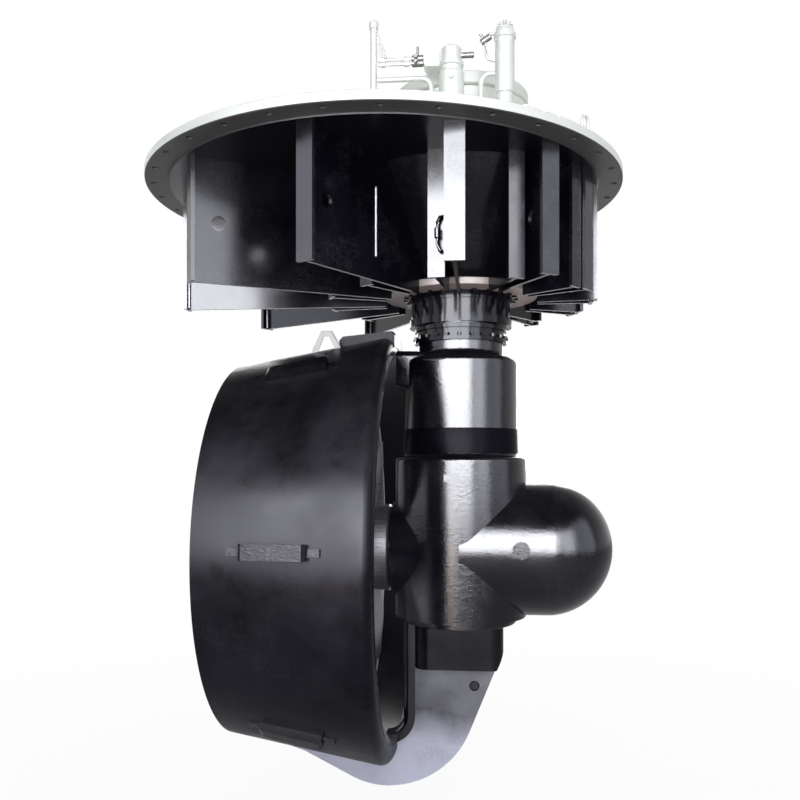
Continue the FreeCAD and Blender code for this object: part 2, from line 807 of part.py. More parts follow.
def drive_line():
    """Upright shaft from the coupling on top to the bevel pinion in the leg."""
    top = S["coupling_top"] - S["coupling_thickness"]
    low = -S["gear_axis_drop"] + pinion_back()
    shaft = ring(0, S["drive_shaft_radius"], low, top)
    turned_part("drive_shaft", shaft)
    body = new_body("input_coupling")
    disc = [(0, top), (S["coupling_radius"], top), (S["coupling_radius"], S["coupling_top"]),
            (0, S["coupling_top"])]
    add_revolution(body, disc)
    DOC.recompute()
    sketch = add_sketch(body, "XY_Plane", circles=[(S["coupling_bolt_radius"], 0, S["coupling_hole_radius"])])
    hole = body.newObject("PartDesign::Pocket", "coupling_hole")
    hole.Profile = sketch
    hole.Type = "ThroughAll"
    hole.Midplane = True
    DOC.recompute()
    add_pattern(body, hole, S["coupling_bolt_count"])
    place(body, CENTRE)
    keep(body)
    inner = S["drive_shaft_radius"] + S["running_gap"]
    seat = TOWER_BORE - S["seat_gap"]
    bearing_top = COVER_TOP + 150
    turned_part("input_bearing", ring(inner, seat, bearing_top - S["input_bearing_height"], bearing_top))
    seal_foot = S["cap_top"]
    seal = [(inner, seal_foot), (TOWER_BORE + 30, seal_foot),
            (TOWER_BORE + 30, seal_foot + 22), (inner, seal_foot + 22)]
    turned_part("input_seal", seal)
    bearing_low = -S["gear_axis_drop"] + S["crown_pitch_radius"] + S["pinion_bearing_rise"]
    seat = S["leg_bore"] - S["seat_gap"]
    turned_part("pinion_bearing", ring(inner, seat, bearing_low, bearing_low + S["pinion_bearing_height"]))


def gear_housing():
    """Leg, bulb and nozzle arm in one casting, hollow for the shafts and gears."""
    axis = S["gear_axis_drop"].value
    level = {name: axis - S[name].value for name in ("shoulder_drop", "step_drop", "hip_drop")}
    top = axis + RING_BOTTOM.value
    foot = -LEG_FOOT.value
    neck, waist, hip = [S[name].value for name in ("neck_radius", "shoulder_radius", "hip_radius")]
    leg = leg_shape(top, foot, neck, waist, hip, level)
    bulb = Part.makeCylinder(BULB_RADIUS.value, S["bulb_front"].value, Vector(), Vector(1, 0, 0))
    tail = tail_shape()
    arm = arm_shape(waist)
    body = leg.fuse([bulb, tail, arm]).removeSplitter()
    bore = Part.makeCylinder(S["leg_bore"].value, top + 1, Vector(0, 0, 0))
    chamber_length = S["bulb_front"].value + S["chamber_rear"].value
    chamber = Part.makeCylinder(CHAMBER_RADIUS.value, chamber_length,
                                Vector(-S["chamber_rear"].value, 0, 0), Vector(1, 0, 0))
    shaft_way = Part.makeCylinder(TAIL_BORE.value, S["tail_rear"].value,
                                  Vector(-S["tail_rear"].value, 0, 0), Vector(1, 0, 0))
    body = body.cut(bore.fuse([chamber, shaft_way]))
    keep(shaped("gear_housing", body, GEAR_LEVEL))


def leg_shape(top, foot, neck, waist, hip, level):
    """The leg's outside: a neck, a curved shoulder, a straight shank and a wider hip."""
    shoulder, step, hip_level = level["shoulder_drop"], level["step_drop"], level["hip_drop"]
    collar = top - 34
    swell = s_bend(neck, collar, waist, shoulder)
    widen = s_bend(waist, step, hip, hip_level)
    edges = [Part.makeLine(Vector(0, 0, top), Vector(neck, 0, top)),
             Part.makeLine(Vector(neck, 0, top), Vector(neck, 0, collar)), *swell,
             Part.makeLine(Vector(waist, 0, shoulder), Vector(waist, 0, step)), *widen,
             Part.makeLine(Vector(hip, 0, hip_level), Vector(hip, 0, foot)),
             Part.makeLine(Vector(hip, 0, foot), Vector(0, 0, foot)),
             Part.makeLine(Vector(0, 0, foot), Vector(0, 0, top))]
    return Part.Face(Part.Wire(edges)).revolve(Vector(), Vector(0, 0, 1), 360)


def s_bend(inner, high, outer, low):
    """Two quarter rounds from a narrow shank out to a wide one below it."""
    half_width, half_height = (outer - inner) / 2, (high - low) / 2
    bend = min(half_width, half_height)
    reach = Vector(inner + bend, 0, high - half_height)
    slant = bend * math.sqrt(0.5)
    upper = Part.Arc(Vector(inner, 0, reach.z + bend), Vector(inner + bend - slant, 0, reach.z + bend - slant),
                     reach)
    ledge = outer - bend
    lower = Part.Arc(Vector(ledge, 0, reach.z), Vector(ledge + slant, 0, reach.z - bend + slant),
                     Vector(outer, 0, reach.z - bend))
    edges = [upper.toShape(), lower.toShape()]
    if ledge - reach.x > 0.01:
        edges.insert(1, Part.makeLine(reach, Vector(ledge, 0, reach.z)))
    if half_height - bend > 0.01:
        edges.insert(0, Part.makeLine(Vector(inner, 0, high), Vector(inner, 0, reach.z + bend)))
        edges.append(Part.makeLine(Vector(outer, 0, reach.z - bend), Vector(outer, 0, low)))
    return edges


def tail_shape():
    """The propeller side of the bulb, drawn in to the shaft seal."""
    rear, radius = S["tail_rear"].value, S["tail_radius"].value
    flare = BULB_RADIUS.value
    return Part.makeCone(radius, flare - 20, rear, Vector(-rear, 0, 0), Vector(1, 0, 0))


def arm_shape(waist):
    """The arm from the shoulder to the nozzle's upper lip."""
    top = NOZZLE_RADIUS.value - S["arm_drop"].value
    low = top - S["arm_height"].value
    half = S["arm_width"].value / 2
    end = -S["saddle_front"].value
    sections = []
    for x, high, base, side in ((end, top, low, half), (-waist * 0.66, top - 8, low - 70, half + 24),
                                (0, top - 60, low - 170, half + 40)):
        sections.append(rounded_section(x, high, base, side, 46))
    return Part.makeLoft(sections, True, True)


def rounded_section(x, high, low, side, bend):
    """A rounded rectangle across the arm."""
    ys = (side, side - bend)
    corners = [Vector(x, ys[1], high), Vector(x, ys[0], high - bend), Vector(x, ys[0], low + bend),
               Vector(x, ys[1], low), Vector(x, -ys[1], low), Vector(x, -ys[0], low + bend),
               Vector(x, -ys[0], high - bend), Vector(x, -ys[1], high)]
    slant = bend * (1 - math.sqrt(0.5))
    edges = []
    for number in range(0, 8, 2):
        first, last = corners[number], corners[number + 1]
        cy = math.copysign(side - slant, first.y)
        cz = high - slant if max(first.z, last.z) > (high + low) / 2 else low + slant
        edges.append(Part.Arc(first, Vector(x, cy, cz), last).toShape())
        edges.append(Part.makeLine(last, corners[(number + 2) % 8]))
    return Part.Wire(edges)


def nose_cap():
    """The round nose of the bulb, bolted over the gear chamber."""
    start, radius = S["bulb_front"], BULB_RADIUS
    wall = 30
    spigot = 24
    inner = CHAMBER_RADIUS - S["seat_gap"]
    length = S["nose_length"]
    body = new_body("nose_cap")
    bend = (length * length + radius * radius) / (2 * length)
    depth = length - wall
    hollow = inner - spigot
    inner_bend = (depth * depth + hollow * hollow) / (2 * depth)
    outline = [(start - spigot, inner - spigot), (start - spigot, inner), (start, inner),
               (start, radius, -bend), (start + length, 0), (start + depth, 0, inner_bend),
               (start, hollow)]
    add_revolution(body, outline, "H_Axis")
    place(body, GEAR_LEVEL)
    keep(body)


def foot_parts():
    """Bottom flange and the strut under the leg."""
    body = new_body("bottom_flange")
    edge = 5
    add_revolution(body, ring(0, S["foot_flange_radius"], -FLANGE_FOOT, -LEG_FOOT, edge))
    place(body, GEAR_LEVEL)
    keep(body)
    body = new_body("strut_block")
    half = S["strut_width"] / 2
    front, rear = S["strut_front"], -S["strut_rear"]
    bend = S["strut_corner"]
    side = half - bend
    outline = [(rear + bend, -half), (front - bend, -half, bend), (front, -side), (front, side, bend),
               (front - bend, half), (rear + bend, half, bend), (rear, side), (rear, -side, bend)]
    add_pad(body, "XY_Plane", S["strut_height"], [outline], both=False, reverse=True)
    DOC.recompute()
    foot = front - S["strut_foot_inset"]
    past = front + S["strut_foot_inset"]
    swoop = [(front, 0), (past, 0), (past, -S["strut_height"] - 1), (foot, -S["strut_height"] - 1),
             (foot, -S["strut_height"], S["strut_front_bend"])]
    sketch = add_sketch(body, "XZ_Plane", [swoop])
    cut = body.newObject("PartDesign::Pocket", "strut_front_cut")
    cut.Profile = sketch
    cut.Type = "ThroughAll"
    cut.Midplane = True
    body.Tip = cut
    place(body, (S["well_offset"], 0, -FLANGE_FOOT - S["gear_axis_drop"]))
    keep(body)


def skeg_fin():
    """The fin plate from the strut to the underside of the nozzle."""
    top = -STRUT_FOOT
    nose = (S["fin_nose_x"], top - S["fin_nose_drop"], -S["fin_nose_bend"])
    keel = NOZZLE_RADIUS + S["fin_keel"]
    lowest = (-S["fin_lowest_x"], -keel, -S["fin_rise_bend"])
    rise = S["fin_rise_angle"]
    lift_x = -S["fin_lowest_x"] - S["fin_rise_bend"] * sine(rise)
    lift_z = -keel + S["fin_rise_bend"] * (1 - cosine(rise))
    ramp = S["fin_rise_run"] / cosine(rise)
    ramp_x = lift_x - ramp * cosine(rise)
    ramp_z = lift_z + ramp * sine(rise)
    cut = -S["strut_rear"]
    bend = S["fin_cut_bend"]
    cut_level = S["throat_radius"] - S["fin_cut_gap"]
    tail = S["throat_radius"] + S["fin_tail_wall"]
    seam = S["strut_front"] - S["strut_foot_inset"] - S["fin_inset"]
    outline = [(seam, top), nose, lowest, (lift_x, lift_z), (ramp_x, ramp_z), (-S["fin_tail_x"], -tail),
               (-S["fin_tail_x"], -OUTLET_RADIUS), (cut - bend, -tail),
               (cut - bend, -cut_level - bend, bend), (cut, -cut_level), (cut, top)]
    body = new_body("skeg_plate")
    hole = (S["fin_hole_x"], top - S["fin_hole_drop"], S["fin_hole_radius"])
    add_pad(body, "XZ_Plane", S["fin_thickness"], [outline], [hole])
    seat_on_nozzle(body, "skeg_fin")
    skeg_edge(cut, cut_level, bend)


def skeg_edge(cut, cut_level, bend):
    """Thick rounded bar down the strut and round the fin's edge that faces the propeller."""
    gap = S["weld_gap"]
    width = S["fin_edge_width"]
    right, left = cut - gap, cut - width
    outline = [(right, -FLANGE_FOOT), (left, -FLANGE_FOOT), (left, -cut_level, -(bend - width)),
               (cut - bend, -cut_level - bend + width), (cut - bend, -cut_level - bend + gap, bend - gap),
               (right, -cut_level)]
    body = new_body("skeg_bar")
    pad = add_pad(body, "XZ_Plane", S["fin_edge_thickness"], [outline])
    DOC.recompute()
    rounding = body.newObject("PartDesign::Fillet", "skeg_bar_round")
    rounding.Base = (pad, propeller_side_edges(pad.Shape, left.value, cut_level.value))
    bind(rounding, "Radius", S["fin_edge_round"])
    body.Tip = rounding
    seat_on_nozzle(body, "skeg_edge")


def propeller_side_edges(shape, left, cut_level):
    """Names of the bar's long edges on the propeller's side."""
    names = []
    for number, edge in enumerate(shape.Edges, start=1):
        box = edge.BoundBox
        straight = abs(box.XMin - left) < 0.01 and abs(box.XMax - left) < 0.01 and box.ZLength > 1
        if straight and box.YLength < 0.01 and box.ZMin > -cut_level - 1:
            names.append(f"Edge{number}")
    return names


def nozzle_outline(gap=0.0):
    """Outside of the nozzle, with an allowance all round, as X and radius."""
    front, rear = -S["nozzle_front"] + gap, -S["nozzle_rear"] - gap
    lip = S["nozzle_lip"]
    crown = NOZZLE_RADIUS + gap
    tail = NOZZLE_TAIL_RADIUS + gap
    mouth = S["throat_radius"] + S["mouth_flare"]
    behind = front - lip
    return [(front, crown - lip, lip), (behind, crown), (rear, tail), (rear, OUTLET_RADIUS),
            (-S["throat_rear"], S["throat_radius"]), (-S["throat_front"], S["throat_radius"]),
            (front, mouth)]


def nozzle():
    """The duct's shell and the wear ring round the blade tips."""
    turned_part("nozzle_shell", nozzle_outline(), GEAR_LEVEL, "H_Axis")
    edge = S["liner_bevel"]
    front, rear = -S["throat_front"] - S["liner_end_gap"], -S["throat_rear"] + S["liner_end_gap"]
    outer = S["throat_radius"] - S["seat_gap"]
    band = [(front, LINER_RADIUS + edge), (front, outer), (rear, outer), (rear, LINER_RADIUS + edge),
            (rear + edge, LINER_RADIUS), (front - edge, LINER_RADIUS)]
    turned_part("nozzle_liner", band, GEAR_LEVEL, "H_Axis")


def seat_on_nozzle(member, label):
    """Hand in a welded piece that is cut to the nozzle's surface."""
    return keep(welded(member, label), label)


def nozzle_saddle():
    """Thick doubler on the nozzle's crown where the arm meets it."""
    front, rear = -S["saddle_front"] - S["weld_gap"], -S["saddle_rear"]
    low = NOZZLE_RADIUS - S["saddle_thickness"] - 15
    top = NOZZLE_RADIUS + S["saddle_thickness"]
    bend = S["saddle_round"]
    outline = [(rear, low), (front, low), (front, top - bend), (front - bend, top),
               (rear + bend, top - S["saddle_fall"]), (rear, top - S["saddle_fall"] - bend)]
    body = new_body("saddle_block")
    add_revolution(body, outline, "H_Axis", sweep=2 * S["saddle_half_angle"])
    seat_on_nozzle(body, "nozzle_saddle")


def nozzle_surface(x):
    """Outside radius of the nozzle at a place along its length."""
    return NOZZLE_RADIUS - nozzle_slope() * (x - S["nozzle_front"] - S["nozzle_lip"])


def nozzle_slope():
    run = S["nozzle_rear"] - S["nozzle_front"] - S["nozzle_lip"]
    return (NOZZLE_RADIUS - NOZZLE_TAIL_RADIUS) / run


def anodes():
    """Six bar anodes on the nozzle, each on a strap that lies along the shell."""
    bars, straps = [], []
    centre = S["anode_centre"]
    base = nozzle_surface(centre)
    slope = nozzle_slope()
    for number, angle in enumerate((32, 86, 140, 220, 274, 328)):
        half = S["anode_length"] / 2
        bend = S["anode_round"]
        low, high = base - 40, base + S["anode_height"]
        lift = slope * half
        bar = new_body(f"anode_bar_{number + 1}")
        outline = [(-centre - half, low - lift), (-centre + half, low + lift),
                   (-centre + half, high + lift - bend), (-centre + half - bend, high + lift),
                   (-centre - half + bend, high - lift), (-centre - half, high - lift - bend)]
        add_pad(bar, "XZ_Plane", S["anode_width"], [outline])
        bars.append(welded(bar, f"anode_{number + 1}", angle))
        reach = S["anode_strap_length"] / 2
        lift = slope * reach
        low, high = base - 20, base + S["anode_strap_height"]
        for side in (-1, 1):
            strap = new_body(f"anode_strap_{number + 1}_{'front' if side > 0 else 'rear'}")
            inner, outer = -centre + side * (half + S["seat_gap"]), -centre + side * reach
            rise_in, rise_out = side * slope * half, side * slope * reach
            outline = [(inner, low + rise_in), (outer, low + rise_out), (outer, high + rise_out),
                       (inner, high + rise_in)]
            add_pad(strap, "XZ_Plane", S["anode_strap_width"], [outline])
            straps.append(welded(strap, f"{strap.Label}_seated", angle))
    grouped("nozzle_anodes", bars)
    grouped("anode_straps", straps)


def welded(member, label, angle=0):
    """A piece cut to the nozzle's surface and turned about the propeller axis."""
    envelope = new_body(f"{label}_seat")
    add_revolution(envelope, nozzle_outline(S["weld_gap"]), "H_Axis")
    cut = DOC.addObject("Part::Cut", label)
    cut.Base = member
    cut.Tool = envelope
    place(cut, GEAR_LEVEL, angle, (1, 0, 0))
    return cut


def lifting_lug():
    """Flat bar bent to an arch, welded on the near side of the nozzle's crown."""
    body = new_body("lug_arch")
    centre, half = -S["lug_centre"], S["lug_width"] / 2
    bar = S["lug_bar"]
    low = nozzle_surface(S["lug_centre"]) - 50
    high = nozzle_surface(S["lug_centre"]) + S["lug_height"]
    outline = [(centre - half, low), (centre - half + bar * 1.3, low), (centre - bar / 2, high - bar),
               (centre + bar / 2, high - bar), (centre + half - bar * 1.3, low), (centre + half, low),
               (centre + bar, high), (centre - bar, high)]
    add_pad(body, "XZ_Plane", S["lug_thickness"], [outline])
    keep(welded(body, "lifting_lug", S["lug_angle"]))


def leg_fittings():
    """The small pad on the leg and the inspection plug on the bulb."""
    pad = new_body("leg_pad")
    x, z, wide, high = -50, 476, 87, 44
    outline = [(x - wide / 2, z - high / 2), (x + wide / 2, z - high / 2), (x + wide / 2, z + high / 2),
               (x - wide / 2, z + high / 2)]
    add_pad(pad, "XZ_Plane", 14, [outline])
    reach = S["hip_radius"] + 7 + S["free_gap"]
    place(pad, (S["well_offset"], -reach, -S["gear_axis_drop"]))
    keep(pad)
    plug = new_body("bulb_plug")
    add_pad(plug, "XZ_Plane", 10, circles=[(387, 26, 55)])
    reach = BULB_RADIUS + 5 + S["free_gap"]
    place(plug, (S["well_offset"], -reach, -S["gear_axis_drop"]))
    keep(plug)


def blade_section(radius, chord, thickness, angle):
    """A closed blade section in the plane at a radius, turned to its pitch angle."""
    outline = []
    stations = (1.0, 0.8, 0.5, 0.2, 0.04)
    fullness = (0.10, 0.55, 1.0, 0.80, 0.34)
    for at, full in zip(stations, fullness):
        outline.append(((at - 0.5) * chord, full * thickness / 2))
    outline.append((-0.5 * chord, 0.0))
    for at, full in reversed(list(zip(stations, fullness))):
        outline.append(((at - 0.5) * chord, -full * thickness / 2))
    points = []
    turn = math.radians(angle)
    for along, across in outline:
        x = along * math.sin(turn) + across * math.cos(turn)
        y = along * math.cos(turn) - across * math.sin(turn)
        points.append(Vector(-x, y, radius))
    return Part.makePolygon(points + points[:1])


def propeller_blade():
    """One broad blade, cut off square for the nozzle, standing up from the axis."""
    root_radius = S["hub_radius"].value * 0.80
    tip_radius = PROPELLER_RADIUS.value
    chords = [S[f"blade_{name}_chord"].value for name in ("root", "mid", "tip")]
    thick, thin = S["blade_root_thickness"].value, S["blade_tip_thickness"].value
    pitch = S["propeller_pitch"].value
    sections = []
    count = 5
    for number in range(count):
        part = number / (count - 1)
        radius = root_radius + (tip_radius + 12 - root_radius) * part
        if part < 0.5:
            chord = chords[0] + (chords[1] - chords[0]) * part * 2
        else:
            chord = chords[1] + (chords[2] - chords[1]) * (part - 0.5) * 2
        thickness = thick + (thin - thick) * part
        angle = math.degrees(math.atan2(pitch, 2 * math.pi * radius))
        sections.append(blade_section(radius, chord, thickness, angle))
    blade = Part.makeLoft(sections, True, False)
    return blade


def propeller():
    """Hub and blades in one casting, with its cap."""
    hub_front, hub_rear = -S["hub_front"].value, -S["hub_rear"].value
    radius, rear_radius = S["hub_radius"].value, S["hub_rear_radius"].value
    edges = [Vector(hub_front, 0, 0), Vector(hub_front, 0, radius - 14), Vector(hub_front - 14, 0, radius),
             Vector((hub_front + hub_rear) / 2, 0, radius - 12), Vector(hub_rear, 0, rear_radius),
             Vector(hub_rear, 0, 0)]
    face = Part.Face(Part.makePolygon(edges + edges[:1]))
    hub = face.revolve(Vector(), Vector(1, 0, 0), 360)
    count = int(S["blade_count"].value)
    sweep = Part.makeCylinder(PROPELLER_RADIUS.value, S["hub_rear"].value,
                              Vector(-S["hub_rear"].value - 200, 0, 0), Vector(1, 0, 0))
    blades = []
    plane = -S["blade_plane"].value
    for number in range(count):
        blade = propeller_blade()
        blade.translate(Vector(plane, 0, 0))
        blade.rotate(Vector(), Vector(1, 0, 0), 360.0 * number / count + 20)
        blades.append(blade.common(sweep))
    body = hub.fuse(blades)
    bore = S["shaft_radius"].value + S["seat_gap"].value
    depth = hub_front - hub_rear - 40
    body = body.cut(Part.makeCylinder(bore, depth, Vector(hub_front - depth, 0, 0), Vector(1, 0, 0)))
    keep(shaped("propeller", body, GEAR_LEVEL))
    rear = -S["hub_rear"]
    end = rear - S["cap_length"]
    radius = S["hub_rear_radius"]
    length = S["cap_length"]
    bend = (length * length + radius * radius) / (2 * radius) * 1.2
    outline = [(rear, 0), (end, 0), (end, radius * 0.42, -bend), (rear, radius)]
    turned_part("propeller_cap", outline, GEAR_LEVEL, "H_Axis")


def propeller_shaft():
    """Level shaft from the hub through the tail bearing to the thrust bearing."""
    rear, front = -S["hub_rear"] + S["shaft_reach"], S["shaft_front"]
    turned_part("propeller_shaft", [(rear, 0), (front, 0), (front, S["shaft_radius"]),
                                    (rear, S["shaft_radius"])], GEAR_LEVEL, "H_Axis")
    inner = S["shaft_radius"] + S["running_gap"]
    seat = TAIL_BORE - S["seat_gap"]
    seal_end = -S["tail_rear"] + S["tail_seal_length"]
    bearing_start = seal_end + S["seat_gap"]
    bearing = ring(inner, seat, bearing_start, bearing_start + S["tail_bearing_length"])
    turned_part("tail_bearing", lying(bearing), GEAR_LEVEL, "H_Axis")
    turned_part("shaft_seal", lying(ring(inner, seat, -S["tail_rear"], seal_end)), GEAR_LEVEL, "H_Axis")
    front = S["shaft_front"] - S["shaft_radius"] / 5
    thrust = ring(inner, S["carrier_radius"] - S["weld_gap"], front - S["thrust_width"], front)
    turned_part("thrust_bearing", lying(thrust), GEAR_LEVEL, "H_Axis")
    inset = S["carrier_inset"]
    carrier = ring(S["carrier_radius"], CHAMBER_RADIUS - S["seat_gap"],
                   front - S["thrust_width"] + inset, front - inset)
    turned_part("bearing_carrier", lying(carrier), GEAR_LEVEL, "H_Axis")


def bevel_gear(pitch_radius, apex_distance, teeth, face, phase, bore):
    """A straight bevel gear about Z with its apex at the origin and its large end above it."""
    cone_distance = math.hypot(pitch_radius, apex_distance)
    half_angle = math.atan2(pitch_radius, apex_distance)
    module = 2 * pitch_radius / teeth
    addendum, dedendum = BEVEL_ADDENDUM * module, BEVEL_DEDENDUM * module
    pressure = math.tan(math.radians(20))
    half = math.pi * module / 4 * (S["tooth_fill"].value - 0.04)
    scale = (cone_distance - face) / cone_distance
    out = Vector(math.cos(half_angle), 0, -math.sin(half_angle))
    pitch_point = Vector(pitch_radius, 0, apex_distance)
    overlap = 0.12 * module
    root_point = pitch_point - out * dedendum

    def section(depth_low, depth_high, size):
        corners = []
        for rise, width in ((depth_low, half + dedendum * pressure), (depth_high, half - addendum * pressure)):
            corners.append((rise, width))
        low, high = corners
        ring_points = [(low[0], -low[1]), (high[0], -high[1]), (high[0], high[1]), (low[0], low[1])]
        points = []
        for rise, across in ring_points:
            point = pitch_point + out * rise
            points.append(Vector(point.x, across, point.z) * size)
        return Part.makePolygon(points + points[:1])

    tooth = Part.makeLoft([section(-dedendum - overlap, addendum, 1.0),
                           section(-dedendum - overlap, addendum, scale)], True, True)
    back = S["bevel_back"].value
    rim = 0.012
    heel, toe = root_point * (1 + rim), root_point * (scale - rim)
    outline = [Vector(0, 0, toe.z), toe, heel, Vector(heel.x, 0, root_point.z + back),
               Vector(0, 0, root_point.z + back)]
    blank = Part.Face(Part.makePolygon(outline + outline[:1])).revolve(Vector(), Vector(0, 0, 1), 360)
    members = []
    for number in range(teeth):
        copy = tooth.copy()
        copy.rotate(Vector(), Vector(0, 0, 1), phase + 360.0 * number / teeth)
        members.append(copy)
    gear = blank.fuse(members)
    if bore:
        gear = gear.cut(Part.makeCylinder(bore, root_point.z + 2 * back))
    return gear


def bevel_gears():
    """The bevel pinion on the drive shaft and the crown wheel on the propeller shaft."""
    crown, pinion = S["crown_pitch_radius"].value, BEVEL_PINION_RADIUS.value
    face = S["bevel_face"].value
    count = int(S["pinion_teeth"].value)
    gear = bevel_gear(pinion, crown, count, face, 180.0 / count, 0)
    keep(shaped("bevel_pinion", gear, GEAR_LEVEL))
    bore = S["shaft_radius"].value + S["seat_gap"].value
    wheel = bevel_gear(crown, pinion, int(S["crown_teeth"].value), face, 180, bore)
    keep(shaped("crown_wheel", wheel, GEAR_LEVEL, 90, (0, 1, 0)))


def steering_motors():
    """Hydraulic steering motors on the case cover, above their pinions."""
    for number in range(2):
        x, y = steering_centre(number)
        radius = S["motor_radius"]
        inner = S["stub_radius"] + S["running_gap"]
        top = S["motor_top"]
        foot = S["motor_foot"]
        belt = S["motor_collar"]
        collar = top - 118
        outline = [(inner, COVER_TOP), (foot, COVER_TOP), (foot, COVER_TOP + 24),
                   (radius + 12, COVER_TOP + 24), (radius + 12, collar - 40), (radius, collar - 28),
                   (radius, collar), (radius + belt, collar + 6), (radius + belt, collar + 26),
                   (radius - 4, collar + 30), (radius - 4, top - 8), (radius - 12, top), (0, top),
                   (0, COVER_TOP + 90), (inner, COVER_TOP + 90)]
        turned_part(f"steering_motor_{number + 1}", outline, (x, y, 0))


def pipe(points, radius, bend):
    """A round pipe along straight runs with a bend at each corner."""
    edges = []
    start = points[0]
    for before, corner, after in zip(points, points[1:], points[2:]):
        incoming = (corner - before).normalize()
        outgoing = (after - corner).normalize()
        turn = incoming.getAngle(outgoing)
        reach = bend * math.tan(turn / 2)
        first, last = corner - incoming * reach, corner + outgoing * reach
        inward = (outgoing - incoming).normalize()
        middle = corner + inward * (bend / math.cos(turn / 2) - bend)
        edges.append(Part.makeLine(start, first))
        edges.append(Part.Arc(first, middle, last).toShape())
        start = last
    edges.append(Part.makeLine(start, points[-1]))
    path = Part.Wire(edges)
    heading = points[1] - points[0]
    section = Part.Wire([Part.Circle(points[0], heading, radius).toShape()])
    return path.makePipeShell([section], True, False)


def canister():
    """Upright filter can on the case cover, with its branch valve and pipe."""
    at = (S["well_offset"] + S["canister_x"], -S["canister_y"], 0)
    radius, top = S["canister_radius"], S["canister_top"]
    neck = 20
    outline = [(0, COVER_TOP), (radius + 12, COVER_TOP), (radius + 12, COVER_TOP + 16),
               (radius - 8, COVER_TOP + 16), (radius - 8, COVER_TOP + 120), (radius, COVER_TOP + 126),
               (radius, top - 84), (radius + 8, top - 80), (radius + 8, top - 52), (radius, top - 48),
               (radius - 6, top - 18), (neck, top - 10), (neck, top), (0, top)]
    turned_part("oil_canister", outline, at)


def control_pipes():
    """Riser, two control lines and the drain, and the valve block that they serve."""
    x, y = S["well_offset"] - S["riser_x"], -S["riser_y"]
    radius = S["pipe_radius"]
    cap = radius + 8
    top = S["riser_top"]
    outline = [(0, COVER_TOP), (radius + 10, COVER_TOP), (radius + 10, COVER_TOP + 14),
               (radius, COVER_TOP + 14), (radius, top - 46), (cap, top - 46), (cap, top - 8), (cap - 8, top),
               (0, top)]
    turned_part("riser_pipe", outline, (x, y, 0))
    motor_x = steering_centre(0)[0]
    right = motor_x - S["motor_radius"] - S["motor_collar"] - S["weld_gap"]
    left = right - S["valve_width"]
    low, high, edge = S["valve_low"], S["valve_high"], 16
    body = new_body("valve_block")
    outline = [(left, low + edge), (left + edge, low), (right, low), (right, high), (left + edge, high),
               (left, high - edge)]
    add_pad(body, "XZ_Plane", S["valve_depth"], [outline])
    place(body, (0, y, 0))
    keep(body)
    start = x.value + radius.value + S["weld_gap"].value
    end = left.value - S["weld_gap"].value
    lines = []
    for name in ("upper_line", "middle_line"):
        level = S[name].value
        points = [Vector(start, y.value, level), Vector(end, y.value, level)]
        lines.append(shaped(f"{name}_pipe", pipe(points, S["line_radius"].value, 0)))
    level, floor = S["lower_line"].value, COVER_TOP.value
    corner = x.value + S["drain_reach"].value
    points = [Vector(start, y.value, level), Vector(corner, y.value, level), Vector(corner, y.value, floor)]
    drain = pipe(points, S["drain_radius"].value, S["pipe_bend"].value)
    lines.append(shaped("lower_line_pipe", drain))
    grouped("control_pipes", lines)
    branch_pipe()


def branch_pipe():
    """Oil line from the side of the canister down to the case cover."""
    x = S["well_offset"].value + S["canister_x"].value - S["canister_radius"].value - S["weld_gap"].value
    y = -S["canister_y"].value
    low = COVER_TOP.value
    level = low + S["branch_level"].value
    corner = x - S["branch_reach"].value
    points = [Vector(x, y, level), Vector(corner, y, level), Vector(corner, y, low)]
    keep(shaped("branch_pipe", pipe(points, S["line_radius"].value + 4, S["pipe_bend"].value)))


def build():
    mounting_flange()
    rim_eyes()
    stem_cone()
    stem_ribs()
    lower_steering_bearing()
    steering_tube()
    slewing_bearing()
    steering_gears()
    steering_case()
    drive_line()
    gear_housing()
    nose_cap()
    foot_parts()
    skeg_fin()
    nozzle()
    nozzle_saddle()
    anodes()
    lifting_lug()
    leg_fittings()
    propeller()
    propeller_shaft()
    bevel_gears()
    steering_motors()
    canister()
    control_pipes()


def check_objects():
    """Stop if a feature failed or a sub-part has no sound shape."""
    for thing in DOC.Objects:
        if "Invalid" in thing.State or "Error" in thing.State:
            raise RuntimeError(f"{thing.Label} failed: {thing.State}")
    for piece in PARTS:
        if piece.Shape.isNull() or not piece.Shape.isValid():
            raise RuntimeError(f"{piece.Label} has no sound shape")


def export():
    os.makedirs("parts", exist_ok=True)
    for piece in PARTS:
        piece.Shape.exportStep(os.path.join("parts", f"{piece.Label}.step"))
        print(piece.Label, len(piece.Shape.Solids), round(piece.Shape.Volume))


build()
DOC.recompute()
check_objects()
export()
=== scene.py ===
"""Looks of an azimuth thruster: paint, castings, welds, machined rings, deck machinery and stage."""

import json
import math

